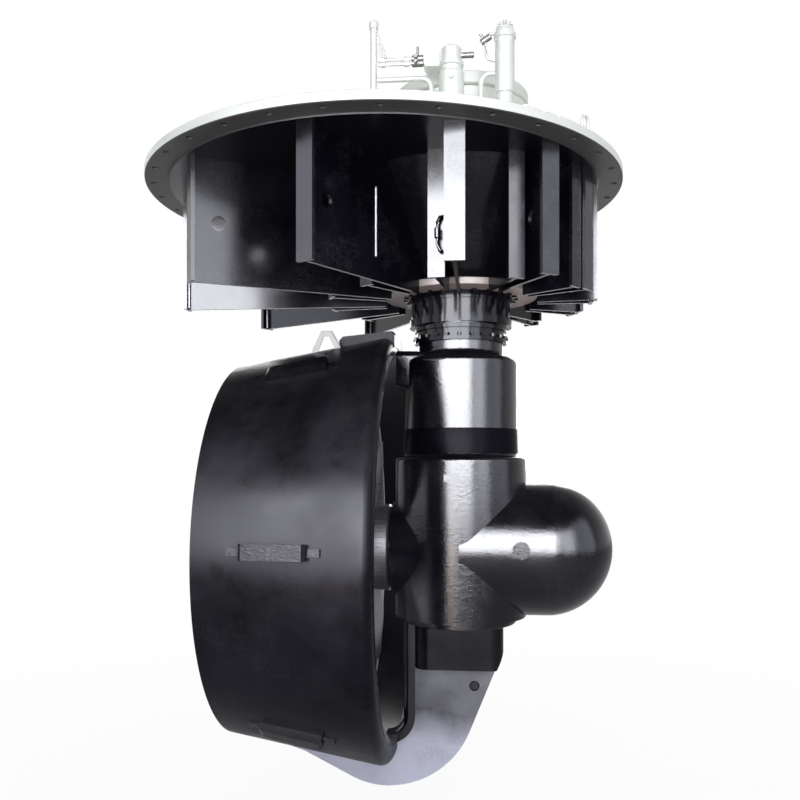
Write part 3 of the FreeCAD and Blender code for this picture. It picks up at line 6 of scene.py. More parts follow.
import bmesh
import bpy
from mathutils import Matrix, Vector


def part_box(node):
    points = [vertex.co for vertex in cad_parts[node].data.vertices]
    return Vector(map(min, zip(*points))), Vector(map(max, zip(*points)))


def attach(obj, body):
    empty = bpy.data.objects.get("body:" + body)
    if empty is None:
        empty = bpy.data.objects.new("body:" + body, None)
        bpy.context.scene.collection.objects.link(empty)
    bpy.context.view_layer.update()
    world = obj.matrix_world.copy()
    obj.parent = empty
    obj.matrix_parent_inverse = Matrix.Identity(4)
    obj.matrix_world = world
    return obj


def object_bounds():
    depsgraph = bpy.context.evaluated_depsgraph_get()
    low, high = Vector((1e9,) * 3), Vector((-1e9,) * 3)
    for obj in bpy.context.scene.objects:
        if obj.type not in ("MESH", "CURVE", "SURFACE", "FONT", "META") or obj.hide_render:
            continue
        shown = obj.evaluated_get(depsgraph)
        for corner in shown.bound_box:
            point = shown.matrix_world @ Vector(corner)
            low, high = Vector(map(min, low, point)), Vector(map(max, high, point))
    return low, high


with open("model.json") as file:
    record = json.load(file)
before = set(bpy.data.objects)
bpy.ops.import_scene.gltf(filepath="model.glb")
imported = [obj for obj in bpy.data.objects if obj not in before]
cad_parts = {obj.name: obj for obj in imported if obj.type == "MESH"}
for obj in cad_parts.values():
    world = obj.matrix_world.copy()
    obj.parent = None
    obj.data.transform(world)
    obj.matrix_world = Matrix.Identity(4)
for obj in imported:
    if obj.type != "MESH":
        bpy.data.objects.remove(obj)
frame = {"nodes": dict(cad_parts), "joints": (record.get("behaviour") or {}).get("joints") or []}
CAD_LOW, CAD_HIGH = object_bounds()

bl_info = {
    "name": "Azimuth Thruster",
    "version": (1, 0, 0),
    "blender": (4, 5, 0),
    "location": "View3D > Sidebar > Thruster",
    "description": "Finishes, welds and stage for a ducted azimuth thruster",
    "category": "Object",
}

NODES = frame["nodes"]
AXIS_X = next(joint["pos_m"][0] for joint in frame["joints"] if joint["name"] == "azimuth_turn")
LAMP_AIM = Vector((AXIS_X, 0.0, -1.6))
UNIT = "azimuth_unit"
STEM = "stem"

# Sizes of the CAD model that the finishes and fittings are set by, in metres.
SPIGOT_RADIUS = 1.42
RIB_COUNT = 12
RIB_REACH = 1.392
RIB_HALF = 0.011
FACEPLATE = 0.024
SHANK_RADIUS = 0.378
LINE_LEVELS = (0.668, 0.640)
DRAIN_LEVEL = 0.546

TURNED_NODES = ("bearing_housing", "lower_ring")
CAST_NODES = ("gear_housing", "nose_cap", "bottom_flange", "leg_pad", "bulb_plug")
PLATE_NODES = ("stem_cone", "long_ribs", "short_ribs")
FACE_NODES = ("long_rib_faceplates", "short_rib_faceplates")
NOZZLE_NODES = ("nozzle_shell", "nozzle_saddle")
ANODE_NODES = ("nozzle_anodes", "anode_straps")
DECK_NODES = ("rim_eyes", "steering_case", "case_cover", "input_tower", "input_cap",
              "steering_motor_1", "steering_motor_2", "oil_canister", "riser_pipe", "valve_block",
              "control_pipes", "branch_pipe")
STEEL_NODES = ("steering_bush", "steering_tube", "slewing_inner_ring", "slewing_outer_ring", "ring_gear",
               "steering_pinion_1", "steering_pinion_2", "drive_shaft", "input_coupling", "bevel_pinion",
               "crown_wheel", "propeller_shaft", "tail_bearing", "thrust_bearing", "bearing_carrier",
               "pinion_bearing", "input_bearing")
SEAL_NODES = ("stem_seal", "shaft_seal", "input_seal")
BOLT_NODES = ("housing_bolts", "lower_ring_bolts")


class ThrusterPaint(bpy.types.PropertyGroup):
    """Colours and gloss of the finishes."""

    hull: bpy.props.FloatVectorProperty(
        name="Hull paint", description="Black paint of everything under water", subtype="COLOR",
        size=3, default=(0.0042, 0.0032, 0.0066), min=0, max=1)
    hull_faded: bpy.props.FloatVectorProperty(
        name="Hull paint, thin", description="Where the black paint is thin or dusty", subtype="COLOR",
        size=3, default=(0.0075, 0.0062, 0.0115), min=0, max=1)
    deck: bpy.props.FloatVectorProperty(
        name="Deck paint", description="Pale paint of the machinery above the flange", subtype="COLOR",
        size=3, default=(0.80, 0.83, 0.78), min=0, max=1)
    rim: bpy.props.FloatVectorProperty(
        name="Seat coating", description="Brown-black coating under the flange's rim", subtype="COLOR",
        size=3, default=(0.046, 0.041, 0.039), min=0, max=1)
    # Painted reflection: the pale lavender low on the fin stands in for the bright floor mirrored in its face.
    fin_floor_reflection: bpy.props.FloatVectorProperty(
        name="Fin, painted floor reflection", description="Painted reflection of the bright floor, pale, low on the fin", subtype="COLOR",
        size=3, default=(0.50, 0.51, 0.63), min=0, max=1)
    fin_dark: bpy.props.FloatVectorProperty(
        name="Fin, head", description="Dark paint high on the fin", subtype="COLOR",
        size=3, default=(0.055, 0.055, 0.068), min=0, max=1)
    steel: bpy.props.FloatVectorProperty(
        name="Machined steel", description="Turned and ground faces", subtype="COLOR",
        size=3, default=(0.55, 0.55, 0.57), min=0, max=1)
    gloss: bpy.props.FloatProperty(
        name="Hull roughness", description="Roughness of the black paint", subtype="FACTOR",
        default=0.16, min=0.02, max=1)


class ThrusterStage(bpy.types.PropertyGroup):
    """Camera, lamps and floor."""

    lens: bpy.props.FloatProperty(
        name="Lens", description="Focal length for a 36 mm sensor, in millimetres", default=38.663, min=10)
    eye: bpy.props.FloatVectorProperty(
        name="Eye", description="Where the camera stands", subtype="TRANSLATION", unit="LENGTH",
        size=3, default=(0.66, -5.8164, -1.8163))
    pan: bpy.props.FloatProperty(
        name="Pan", description="Camera's turn about the upright axis", subtype="ANGLE",
        default=math.radians(5.46))
    rise: bpy.props.FloatProperty(
        name="Rise", description="Upward shift of the level camera's frame, in frame widths", default=0.08)
    window: bpy.props.FloatProperty(
        name="Window", description="Brightness of the great window that the gloss mirrors", default=44.0, min=0)
    hall: bpy.props.FloatProperty(
        name="Hall", description="Brightness of the hall beside the window", default=4.0, min=0)
    key: bpy.props.FloatProperty(
        name="Key", description="Brightness of the broad front lamp that lights the colours", default=2.3, min=0)
    sky: bpy.props.FloatProperty(
        name="Sky", description="Strength of the even light from all round", default=0.42, min=0)
    floor_gap: bpy.props.FloatProperty(
        name="Floor gap", description="Clear height under the fin", unit="LENGTH", default=0.35, min=0)


def new_group(name, inputs, outputs):
    """A shader group with named inputs and outputs; gives the group and its two end nodes."""
    group = bpy.data.node_groups.new(name, "ShaderNodeTree")
    for label, value in inputs:
        socket = group.interface.new_socket(label, in_out="INPUT", socket_type="NodeSocketFloat")
        socket.default_value = value
    for label in outputs:
        group.interface.new_socket(label, in_out="OUTPUT", socket_type="NodeSocketFloat")
    return group, group.nodes.new("NodeGroupInput"), group.nodes.new("NodeGroupOutput")


def math_node(tree, operation, first, second=None, clamp=False):
    """A math node; each operand is a socket or a number."""
    node = tree.nodes.new("ShaderNodeMath")
    node.operation = operation
    node.use_clamp = clamp
    for index, value in enumerate((first, second)):
        if value is None:
            continue
        if isinstance(value, (int, float)):
            node.inputs[index].default_value = value
        else:
            tree.links.new(value, node.inputs[index])
    return node.outputs[0]


def noise_node(tree, vector, scale, detail=4.0, roughness=0.55):
    """A noise node; its scale is a socket or a number."""
    node = tree.nodes.new("ShaderNodeTexNoise")
    node.inputs["Detail"].default_value = detail
    node.inputs["Roughness"].default_value = roughness
    tree.links.new(vector, node.inputs["Vector"])
    if isinstance(scale, (int, float)):
        node.inputs["Scale"].default_value = scale
    else:
        tree.links.new(scale, node.inputs["Scale"])
    return node.outputs["Fac"]


def span_node(tree, value, low, high, out_low=0.0, out_high=1.0):
    """Map a value from one span to another, held at its ends."""
    node = tree.nodes.new("ShaderNodeMapRange")
    tree.links.new(value, node.inputs["Value"])
    names = ("From Min", "From Max", "To Min", "To Max")
    for name, number in zip(names, (low, high, out_low, out_high)):
        node.inputs[name].default_value = number
    return node.outputs["Result"]


def stretched(tree, scale=(1.0, 1.0, 1.0)):
    """Object coordinates, stretched by three factors."""
    coordinates = tree.nodes.new("ShaderNodeTexCoord")
    mapping = tree.nodes.new("ShaderNodeMapping")
    mapping.inputs["Scale"].default_value = scale
    tree.links.new(coordinates.outputs["Object"], mapping.inputs["Vector"])
    return mapping.outputs["Vector"]


def place_of(tree):
    """Object coordinates as separate X, Y and Z sockets."""
    coordinates = tree.nodes.new("ShaderNodeTexCoord")
    place = tree.nodes.new("ShaderNodeSeparateXYZ")
    tree.links.new(coordinates.outputs["Object"], place.inputs[0])
    return place.outputs


def normal_of(tree):
    """The surface's normal as separate X, Y and Z sockets."""
    geometry = tree.nodes.new("ShaderNodeNewGeometry")
    normal = tree.nodes.new("ShaderNodeSeparateXYZ")
    tree.links.new(geometry.outputs["Normal"], normal.inputs[0])
    return normal.outputs


def paint_skin_group():
    """Orange peel, sags and rollered patches of thick paint."""
    group, start, end = new_group(
        "Paint skin", [("Peel scale", 90.0), ("Peel", 0.5), ("Sag scale", 5.0), ("Sag", 0.5)],
        ["Height", "Patches"])
    place = stretched(group)
    peel = noise_node(group, place, start.outputs["Peel scale"], 3.0, 0.6)
    sag = noise_node(group, place, start.outputs["Sag scale"], 3.0, 0.5)
    fine = math_node(group, "MULTIPLY", peel, start.outputs["Peel"])
    broad = math_node(group, "MULTIPLY", sag, start.outputs["Sag"])
    group.links.new(math_node(group, "ADD", fine, broad), end.inputs["Height"])
    patches = span_node(group, noise_node(group, place, 2.3, 5.0, 0.62), 0.38, 0.66)
    group.links.new(patches, end.inputs["Patches"])
    return group


def casting_group():
    """Wrinkled sand-cast surface under paint: shallow pits and short creases."""
    group, start, end = new_group("Casting", [("Scale", 26.0), ("Depth", 1.0)], ["Height"])
    place = stretched(group, (1.0, 1.0, 1.9))
    wrinkles = noise_node(group, place, start.outputs["Scale"], 5.0, 0.62)
    folded = math_node(group, "ABSOLUTE", math_node(group, "SUBTRACT", wrinkles, 0.5))
    creases = span_node(group, folded, 0.0, 0.14)
    swell = noise_node(group, place, 4.0, 2.0, 0.5)
    total = math_node(group, "ADD", creases, math_node(group, "MULTIPLY", swell, 2.4))
    height = math_node(group, "MULTIPLY", total, start.outputs["Depth"])
    group.links.new(height, end.inputs["Height"])
    return group


def scuff_group():
    """Long thin scratches, short chips and handling marks."""
    group, start, end = new_group("Scuffs", [("Scale", 8.0), ("Amount", 0.4)], ["Mask"])
    marks = None
    for stretch in ((1.0, 1.0, 14.0), (12.0, 1.0, 1.0), (5.0, 1.0, 7.0)):
        streak = noise_node(group, stretched(group, stretch), start.outputs["Scale"], 6.0, 0.7)
        line = span_node(group, math_node(group, "ABSOLUTE", math_node(group, "SUBTRACT", streak, 0.5)),
                         0.0, 0.006, 1.0, 0.0)
        marks = line if marks is None else math_node(group, "MAXIMUM", marks, line)
    where = span_node(group, noise_node(group, stretched(group), 3.1, 3.0), 0.50, 0.62)
    mask = math_node(group, "MULTIPLY", marks, where)
    mask = math_node(group, "MULTIPLY", mask, start.outputs["Amount"], clamp=True)
    group.links.new(mask, end.inputs["Mask"])
    return group


def dust_group():
    """Dust that settles on surfaces that face up."""
    group, start, end = new_group("Dust", [("Amount", 0.3)], ["Mask"])
    up = span_node(group, normal_of(group)["Z"], 0.25, 0.95)
    cloud = span_node(group, noise_node(group, stretched(group), 6.0, 6.0, 0.65), 0.30, 0.75)
    mask = math_node(group, "MULTIPLY", up, cloud)
    mask = math_node(group, "MULTIPLY", mask, start.outputs["Amount"], clamp=True)
    group.links.new(mask, end.inputs["Mask"])
    return group


def effect(name):
    """The shader group of that name, built the first time it is asked for."""
    builders = {"Paint skin": paint_skin_group, "Casting": casting_group, "Scuffs": scuff_group,
                "Dust": dust_group}
    return bpy.data.node_groups.get(name) or builders[name]()


def use_effect(material, name, **values):
    """Place a shared effect in a material with its own values."""
    node = material.node_tree.nodes.new("ShaderNodeGroup")
    node.node_tree = effect(name)
    for label, value in values.items():
        node.inputs[label.replace("_", " ")].default_value = value
    return node


def new_material(name, **constants):
    """A material whose shader holds the constant values; gives it with its shader node."""
    material = bpy.data.materials.new(name)
    material.use_nodes = True
    shader = material.node_tree.nodes["Principled BSDF"]
    for label, value in constants.items():
        shader.inputs[label.replace("_", " ")].default_value = value
    return material, shader


def blend_colours(material, mask, first, second):
    """Mix two colours by a mask; each colour is a tuple or a socket."""
    mix = material.node_tree.nodes.new("ShaderNodeMix")
    mix.data_type = "RGBA"
    material.node_tree.links.new(mask, mix.inputs[0])
    for index, colour in ((6, first), (7, second)):
        if isinstance(colour, bpy.types.NodeSocket):
            material.node_tree.links.new(colour, mix.inputs[index])
        else:
            mix.inputs[index].default_value = (*colour, 1.0)
    return mix.outputs[2]


def add_bump(material, shader, height, strength, distance):
    """Drive the shader's normal by a height; the distance is in metres."""
    bump = material.node_tree.nodes.new("ShaderNodeBump")
    bump.inputs["Strength"].default_value = strength
    bump.inputs["Distance"].default_value = distance
    material.node_tree.links.new(height, bump.inputs["Height"])
    material.node_tree.links.new(bump.outputs["Normal"], shader.inputs["Normal"])


def black_paint(name, roughness, cast=False, scuffs=0.25, depth=0.004, strength=0.35, ior=1.33, dust=0.12):
    """Glossy black paint over plate or over a casting."""
    looks = bpy.context.scene.thruster_paint
    material, shader = new_material(name, IOR=ior)
    tree = material.node_tree
    skin = use_effect(material, "Paint skin", Peel_scale=70.0, Peel=0.35, Sag_scale=3.0, Sag=1.0)
    marks = use_effect(material, "Scuffs", Scale=5.0, Amount=scuffs)
    film = use_effect(material, "Dust", Amount=dust)
    base = blend_colours(material, skin.outputs["Patches"], tuple(looks.hull), tuple(looks.hull_faded))
    marked = blend_colours(material, marks.outputs["Mask"], base, (0.16, 0.16, 0.18))
    dusty = blend_colours(material, film.outputs["Mask"], marked, (0.12, 0.115, 0.11))
    tree.links.new(dusty, shader.inputs["Base Color"])
    rough = span_node(tree, skin.outputs["Patches"], 0.0, 1.0, roughness * 0.8, roughness * 1.35)
    rough = math_node(tree, "ADD", rough, math_node(tree, "MULTIPLY", film.outputs["Mask"], 0.9))
    tree.links.new(rough, shader.inputs["Roughness"])
    height = skin.outputs["Height"]
    if cast:
        wrinkles = use_effect(material, "Casting", Scale=24.0, Depth=0.8)
        height = math_node(tree, "ADD", height, wrinkles.outputs["Height"])
    add_bump(material, shader, height, strength, depth)
    return material


def turned_metal(name, colour, roughness, metallic=1.0, ior=1.5):
    """Turned or ground metal with fine feed marks and oil patches."""
    material, shader = new_material(name, Metallic=metallic, IOR=ior)
    tree = material.node_tree
    skin = use_effect(material, "Paint skin", Peel_scale=160.0, Peel=0.4, Sag_scale=9.0, Sag=0.4)
    marks = noise_node(tree, stretched(tree, (1.0, 1.0, 90.0)), 6.0, 4.0, 0.6)
    dark = tuple(part * 0.72 for part in colour)
    tree.links.new(blend_colours(material, skin.outputs["Patches"], tuple(colour), dark),
                   shader.inputs["Base Color"])
    rough = span_node(tree, marks, 0.3, 0.7, roughness * 0.75, roughness * 1.4)
    tree.links.new(rough, shader.inputs["Roughness"])
    height = math_node(tree, "ADD", skin.outputs["Height"], marks)
    add_bump(material, shader, height, 0.15, 0.0015)
    return material


def deck_paint(name, colour, roughness=0.42, dust=0.35):
    """Pale machinery paint, slightly uneven, with dust and a few chips."""
    material, shader = new_material(name, IOR=1.45)
    tree = material.node_tree
    skin = use_effect(material, "Paint skin", Peel_scale=110.0, Peel=0.5, Sag_scale=6.0, Sag=0.6)
    marks = use_effect(material, "Scuffs", Scale=7.0, Amount=0.35)
    film = use_effect(material, "Dust", Amount=dust)
    shade = tuple(part * 0.93 for part in colour)
    base = blend_colours(material, skin.outputs["Patches"], tuple(colour), shade)
    marked = blend_colours(material, marks.outputs["Mask"], base, (0.34, 0.33, 0.31))
    dusty = blend_colours(material, film.outputs["Mask"], marked, (0.52, 0.50, 0.46))
    tree.links.new(dusty, shader.inputs["Base Color"])
    rough = span_node(tree, skin.outputs["Patches"], 0.0, 1.0, roughness, roughness + 0.14)
    tree.links.new(rough, shader.inputs["Roughness"])
    add_bump(material, shader, skin.outputs["Height"], 0.22, 0.002)
    return material


def flange_coating():
    """The flange is pale on top and on its edge, brown-black under its rim, and black inside that."""
    looks = bpy.context.scene.thruster_paint
    material, shader = new_material("flange_coating", IOR=1.42)
    tree = material.node_tree
    skin = use_effect(material, "Paint skin", Peel_scale=80.0, Peel=0.5, Sag_scale=4.0, Sag=0.7)
    film = use_effect(material, "Dust", Amount=0.3)
    normal, place = normal_of(tree), place_of(tree)
    squares = [math_node(tree, "POWER", place[axis], 2.0) for axis in ("X", "Y")]
    radius = math_node(tree, "SQRT", math_node(tree, "ADD", *squares))
    inner = span_node(tree, radius, SPIGOT_RADIUS - 0.002, SPIGOT_RADIUS + 0.001, 1.0, 0.0)
    edge = span_node(tree, radius, CAD_HIGH.x - 0.012, CAD_HIGH.x - 0.008, 1.0, 0.0)
    facing_down = math_node(tree, "LESS_THAN", normal["Z"], -0.55)
    facing_side = math_node(tree, "LESS_THAN", normal["Z"], 0.35)
    down = math_node(tree, "MAXIMUM", facing_down, math_node(tree, "MULTIPLY", facing_side, edge))
    pale = blend_colours(material, skin.outputs["Patches"], tuple(looks.deck),
                         tuple(part * 0.93 for part in looks.deck))
    pale = blend_colours(material, film.outputs["Mask"], pale, (0.55, 0.53, 0.49))
    under = blend_colours(material, inner, tuple(looks.rim), tuple(looks.hull))
    tree.links.new(blend_colours(material, down, pale, under), shader.inputs["Base Color"])
    smooth = math_node(tree, "MULTIPLY", inner, 0.28)
    rough = math_node(tree, "SUBTRACT", 0.55, math_node(tree, "MULTIPLY", down, smooth))
    tree.links.new(rough, shader.inputs["Roughness"])
    add_bump(material, shader, skin.outputs["Height"], 0.25, 0.003)
    return material


def fin_paint():
    """The fin's paint: dark under the strut, pale towards its foot with a painted reflection of the bright floor,
    and scuffed.
    """
    looks = bpy.context.scene.thruster_paint
    material, shader = new_material("fin_paint", IOR=1.3, Coat_Weight=0.08, Coat_Roughness=0.12)
    tree = material.node_tree
    skin = use_effect(material, "Paint skin", Peel_scale=60.0, Peel=0.5, Sag_scale=5.0, Sag=1.0)
    marks = use_effect(material, "Scuffs", Scale=4.0, Amount=1.0)
    cloud = noise_node(tree, stretched(tree), 2.6, 4.0, 0.6)
    shifted = math_node(tree, "ADD", place_of(tree)["Z"], math_node(tree, "MULTIPLY", cloud, 0.22))
    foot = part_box("skeg_fin")[0].z
    # Painted reflection: the colour fades from dark to pale towards the fin's foot, where its face would mirror
    # the bright floor.
    floor_reflection_fade = span_node(tree, shifted, foot + 0.42, foot + 0.62)
    side = math_node(tree, "ABSOLUTE", normal_of(tree)["Y"])
    edge = span_node(tree, side, 0.55, 0.80, 1.0, 0.0)
    face = blend_colours(material, floor_reflection_fade, tuple(looks.fin_floor_reflection), tuple(looks.fin_dark))
    face = blend_colours(material, math_node(tree, "MULTIPLY", skin.outputs["Patches"], 0.22), face,
                         (0.30, 0.30, 0.40))
    face = blend_colours(material, marks.outputs["Mask"], face, (0.10, 0.10, 0.13))
    tree.links.new(blend_colours(material, edge, face, tuple(looks.hull)), shader.inputs["Base Color"])
    rough = span_node(tree, skin.outputs["Patches"], 0.0, 1.0, 0.26, 0.42)
    tree.links.new(rough, shader.inputs["Roughness"])
    add_bump(material, shader, skin.outputs["Height"], 0.3, 0.003)
    return material


def assign(material, names):
    """Give CAD pieces a finish."""
    for name in names:
        slots = NODES[name].material_slots
        for slot in slots:
            slot.material = material
        if not slots:
            NODES[name].data.materials.append(material)


def soften(names, width):
    """Ground edges: a small rounding that catches the light."""
    for name in names:
        bevel = NODES[name].modifiers.new("ground_edges", "BEVEL")
        bevel.width = width
        bevel.segments = 2
        bevel.limit_method = "ANGLE"
        bevel.angle_limit = math.radians(32.0)
        bevel.harden_normals = False


def finish_piece(mesh, name, material, body):
    """Link a mesh as a smooth piece that rides on a body."""
    piece = bpy.data.objects.new(name, mesh)
    bpy.context.scene.collection.objects.link(piece)
    mesh.materials.append(material)
    for polygon in mesh.polygons:
        polygon.use_smooth = True
    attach(piece, body)
    return piece


def crisp_piece(mesh, name, material, body):
    """Link a mesh as a piece that rides on a body, its round faces smooth and its corners sharp."""
    piece = finish_piece(mesh, name, material, body)
    edges = piece.modifiers.new("crisp_edges", "EDGE_SPLIT")
    edges.split_angle = math.radians(35.0)


def around(count, start=0.0):
    """Evenly spaced turns about a centre, in radians; the start is in degrees."""
    return [math.radians(start + 360.0 * number / count) for number in range(count)]


def circle(centre, side, up, radius, sides):
    """Points of a circle in the plane of two unit vectors."""
    return [centre + (side * math.cos(turn) + up * math.sin(turn)) * radius for turn in around(sides)]


def skinned(name, rings, closed=False):
    """A closed mesh over rings of points, capped at both ends or run round to its start."""
    builder = bmesh.new()
    rows = [[builder.verts.new(point) for point in ring] for ring in rings]
    pairs = list(zip(rows, rows[1:])) + ([(rows[-1], rows[0])] if closed else [])
    for first, second in pairs:
        count = len(first)
        for number in range(count):
            following = (number + 1) % count
            builder.faces.new((first[number], first[following], second[following], second[number]))
    if not closed:
        builder.faces.new(rows[0])
        builder.faces.new(list(reversed(rows[-1])))
    bmesh.ops.recalc_face_normals(builder, faces=builder.faces)
    mesh = bpy.data.meshes.new(name)
    builder.to_mesh(mesh)
    builder.free()
    return mesh


def bead_mesh(name, path, radius, sides=8, step=0.007, wave=0.22):
    """A weld bead: a round ridge along a path, rippled by a share of its radius."""
    points = resample(path, step)
    rings = []
    for index, point in enumerate(points):
        before = points[index - 1] if index else point
        after = points[index + 1] if index + 1 < len(points) else point
        along = (after - before).normalized()
        side = along.cross(Vector((0, 0, 1)))
        if side.length < 0.1:
            side = along.cross(Vector((0, 1, 0)))
        side.normalize()
        up = side.cross(along).normalized()
        ripple = 1.0
        if wave:
            ripple += 0.5 * wave * math.cos(index * math.pi)
            ripple *= 1.0 + 0.10 * math.sin(index * 0.37) + 0.06 * math.sin(index * 1.13 + 1.0)
        rings.append(circle(point, side, up, radius * ripple, sides))
    return skinned(name, rings)


def resample(path, step):
    """Points about a step apart along straight runs."""
    points = []
    for first, second in zip(path, path[1:]):
        pieces = max(1, round((second - first).length / step))
        points += [first.lerp(second, number / pieces) for number in range(pieces)]
    return [*points, path[-1]]


def joined(meshes, name):
    """Several meshes as one."""
    builder = bmesh.new()
    for mesh in meshes:
        builder.from_mesh(mesh)
        bpy.data.meshes.remove(mesh)
    whole = bpy.data.meshes.new(name)
    builder.to_mesh(whole)
    builder.free()
    return whole


def drum_mesh(name, start, end, radius, sides=24):
    """A short round or many-sided bar between two points, with a chamfer at each end."""
    start, end = Vector(start), Vector(end)
    along = (end - start).normalized()
    side = along.orthogonal().normalized()
    up = along.cross(side)
    chamfer = 0.18
    cut = min(radius * chamfer, (end - start).length * 0.4)
    ends = ((start, radius - cut), (start + along * cut, radius), (end - along * cut, radius), (end, radius - cut))
    return skinned(name, [circle(point, side, up, reach, sides) for point, reach in ends])


def turned_mesh(name, profile, sides=96):
    """A closed ring: a profile of (radius, height) points turned about the steering axis."""
    return skinned(name, [[(AXIS_X + radius * math.cos(turn), radius * math.sin(turn), height)
                           for radius, height in profile] for turn in around(sides)], closed=True)


def rod_mesh(name, path, radius):
    """A smooth bent rod along a path."""
    return bead_mesh(name, [Vector(point) for point in path], radius, sides=14, step=0.05, wave=0.0)


class THRUSTER_OT_hull_paint(bpy.types.Operator):
    """Paint the leg, bulb, ribs, cone and nozzle black"""

    bl_idname = "thruster.hull_paint"
    bl_label = "Hull paint"

    def execute(self, context):
        gloss = context.scene.thruster_paint.gloss
        assign(black_paint("black_casting", gloss, cast=True, depth=0.0011, strength=0.30), CAST_NODES)
        assign(black_paint("black_plate", gloss * 1.2, scuffs=0.4, depth=0.0012, ior=1.27), PLATE_NODES)
        assign(black_paint("black_nozzle", gloss * 2.0, scuffs=0.18, depth=0.0015, strength=0.25, ior=1.155),
               NOZZLE_NODES)
        assign(black_paint("black_strut", gloss * 1.3, depth=0.0012, ior=1.2), ("strut_block",))
        assign(black_paint("black_anode", gloss * 1.3, cast=True, depth=0.0016, ior=1.18), ANODE_NODES)
        soften(ANODE_NODES, 0.007)
        assign(fin_paint(), ("skeg_fin",))
        assign(black_paint("black_edge", gloss, depth=0.0012), ("skeg_edge",))
        return {"FINISHED"}


class THRUSTER_OT_turned_rings(bpy.types.Operator):
    """Finish the turned rings at the neck, the rib faceplates and the bolts"""

    bl_idname = "thruster.turned_rings"
    bl_label = "Turned rings and faceplates"

    def execute(self, context):
        gloss = context.scene.thruster_paint.gloss
        assign(black_paint("black_ring", gloss * 0.8, scuffs=0.15, depth=0.0008, ior=1.19), TURNED_NODES)
        assign(black_paint("black_faceplate", gloss * 1.5, scuffs=0.5, depth=0.0008, ior=1.34), FACE_NODES)
        assign(black_paint("black_bolt", gloss * 1.3, scuffs=0.0, depth=0.0005, ior=1.2), BOLT_NODES)
        assign(deck_paint("disc_primer", (0.30, 0.235, 0.21)), ("stem_base_disc",))
        soften(FACE_NODES + TURNED_NODES, 0.003)
        soften(("strut_block", "bottom_flange"), 0.006)
        return {"FINISHED"}


class THRUSTER_OT_deck_machinery(bpy.types.Operator):
    """Paint the flange and the steering gear above it"""

    bl_idname = "thruster.deck_machinery"
    bl_label = "Flange and deck machinery"

    def execute(self, context):
        colour = tuple(context.scene.thruster_paint.deck)
        assign(flange_coating(), ("mounting_flange",))
        assign(deck_paint("machinery_paint", colour), DECK_NODES)
        assign(turned_metal("zinc_bolt", (0.62, 0.62, 0.60), 0.35), ("case_bolts",))
        soften(("steering_case", "input_tower", "valve_block"), 0.004)
        return {"FINISHED"}


class THRUSTER_OT_machined_parts(bpy.types.Operator):
    """Finish the shafts, gears, bearings and seals"""

    bl_idname = "thruster.machined_parts"
    bl_label = "Shafts, gears and seals"

    def execute(self, context):
        steel = tuple(context.scene.thruster_paint.steel)
        assign(turned_metal("machined_steel", steel, 0.24), STEEL_NODES)
        assign(turned_metal("wear_ring", (0.30, 0.30, 0.33), 0.28), ("nozzle_liner",))
        assign(black_paint("seal_rubber", 0.6, scuffs=0.0), SEAL_NODES)
        return {"FINISHED"}


class THRUSTER_OT_propeller(bpy.types.Operator):
    """Finish the propeller and its cap"""

    bl_idname = "thruster.propeller"
    bl_label = "Propeller"

    def execute(self, context):
        assign(turned_metal("cast_propeller", (0.20, 0.195, 0.20), 0.30, metallic=0.9),
               ("propeller", "propeller_cap"))
        return {"FINISHED"}


class THRUSTER_OT_lifting_lug(bpy.types.Operator):
    """Leave the lifting lug in its pale primer"""

    bl_idname = "thruster.lifting_lug"
    bl_label = "Lifting lug"

    def execute(self, context):
        assign(deck_paint("lug_primer", (0.52, 0.52, 0.50), 0.5), ("lifting_lug",))
        return {"FINISHED"}


class THRUSTER_OT_welds(bpy.types.Operator):
    """Lay the weld beads on the strut and the ribs"""

    bl_idname = "thruster.welds"
    bl_label = "Weld beads"

    def execute(self, context):
        material = turned_metal("painted_weld", (0.22, 0.22, 0.25), 0.22, metallic=0.7)
        self.strut_weld(material)
        self.rib_welds(material)
        return {"FINISHED"}

    def strut_weld(self, material):
        """Bead where the strut meets the fin, on both sides."""
        low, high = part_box("strut_block")
        fin_low, fin_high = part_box("skeg_fin")
        half = (fin_high.y - fin_low.y) / 2 + 0.006
        level = low.z - 0.004
        meshes = []
        for side in (-1, 1):
            start = Vector((low.x + 0.02, side * half, level))
            end = Vector((high.x - 0.055, side * half, level))
            meshes.append(bead_mesh("bead", [start, end], 0.011))
        finish_piece(joined(meshes, "strut_weld"), "strut_weld", material, UNIT)

    def rib_welds(self, material):
        """Beads down both sides of each long rib where its faceplate is welded on."""
        meshes = []
        low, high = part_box("long_rib_faceplates")
        stand_off = 0.003
        for angle in around(RIB_COUNT, -90.0):
            along = -AXIS_X * math.cos(angle)
            reach = along + math.sqrt(along * along - AXIS_X * AXIS_X + RIB_REACH * RIB_REACH)
            out = Vector((math.cos(angle), math.sin(angle), 0))
            across = Vector((-math.sin(angle), math.cos(angle), 0))
            for side in (-1, 1):
                foot = (Vector((AXIS_X, 0, 0)) + out * (reach - FACEPLATE - stand_off)
                        + across * side * (RIB_HALF + stand_off))
                start = foot + Vector((0, 0, high.z - 0.004))
                end = foot + Vector((0, 0, low.z + 0.004))
                meshes.append(bead_mesh("bead", [start, end], 0.006, sides=6, step=0.012))
        finish_piece(joined(meshes, "rib_welds"), "rib_welds", material, STEM)


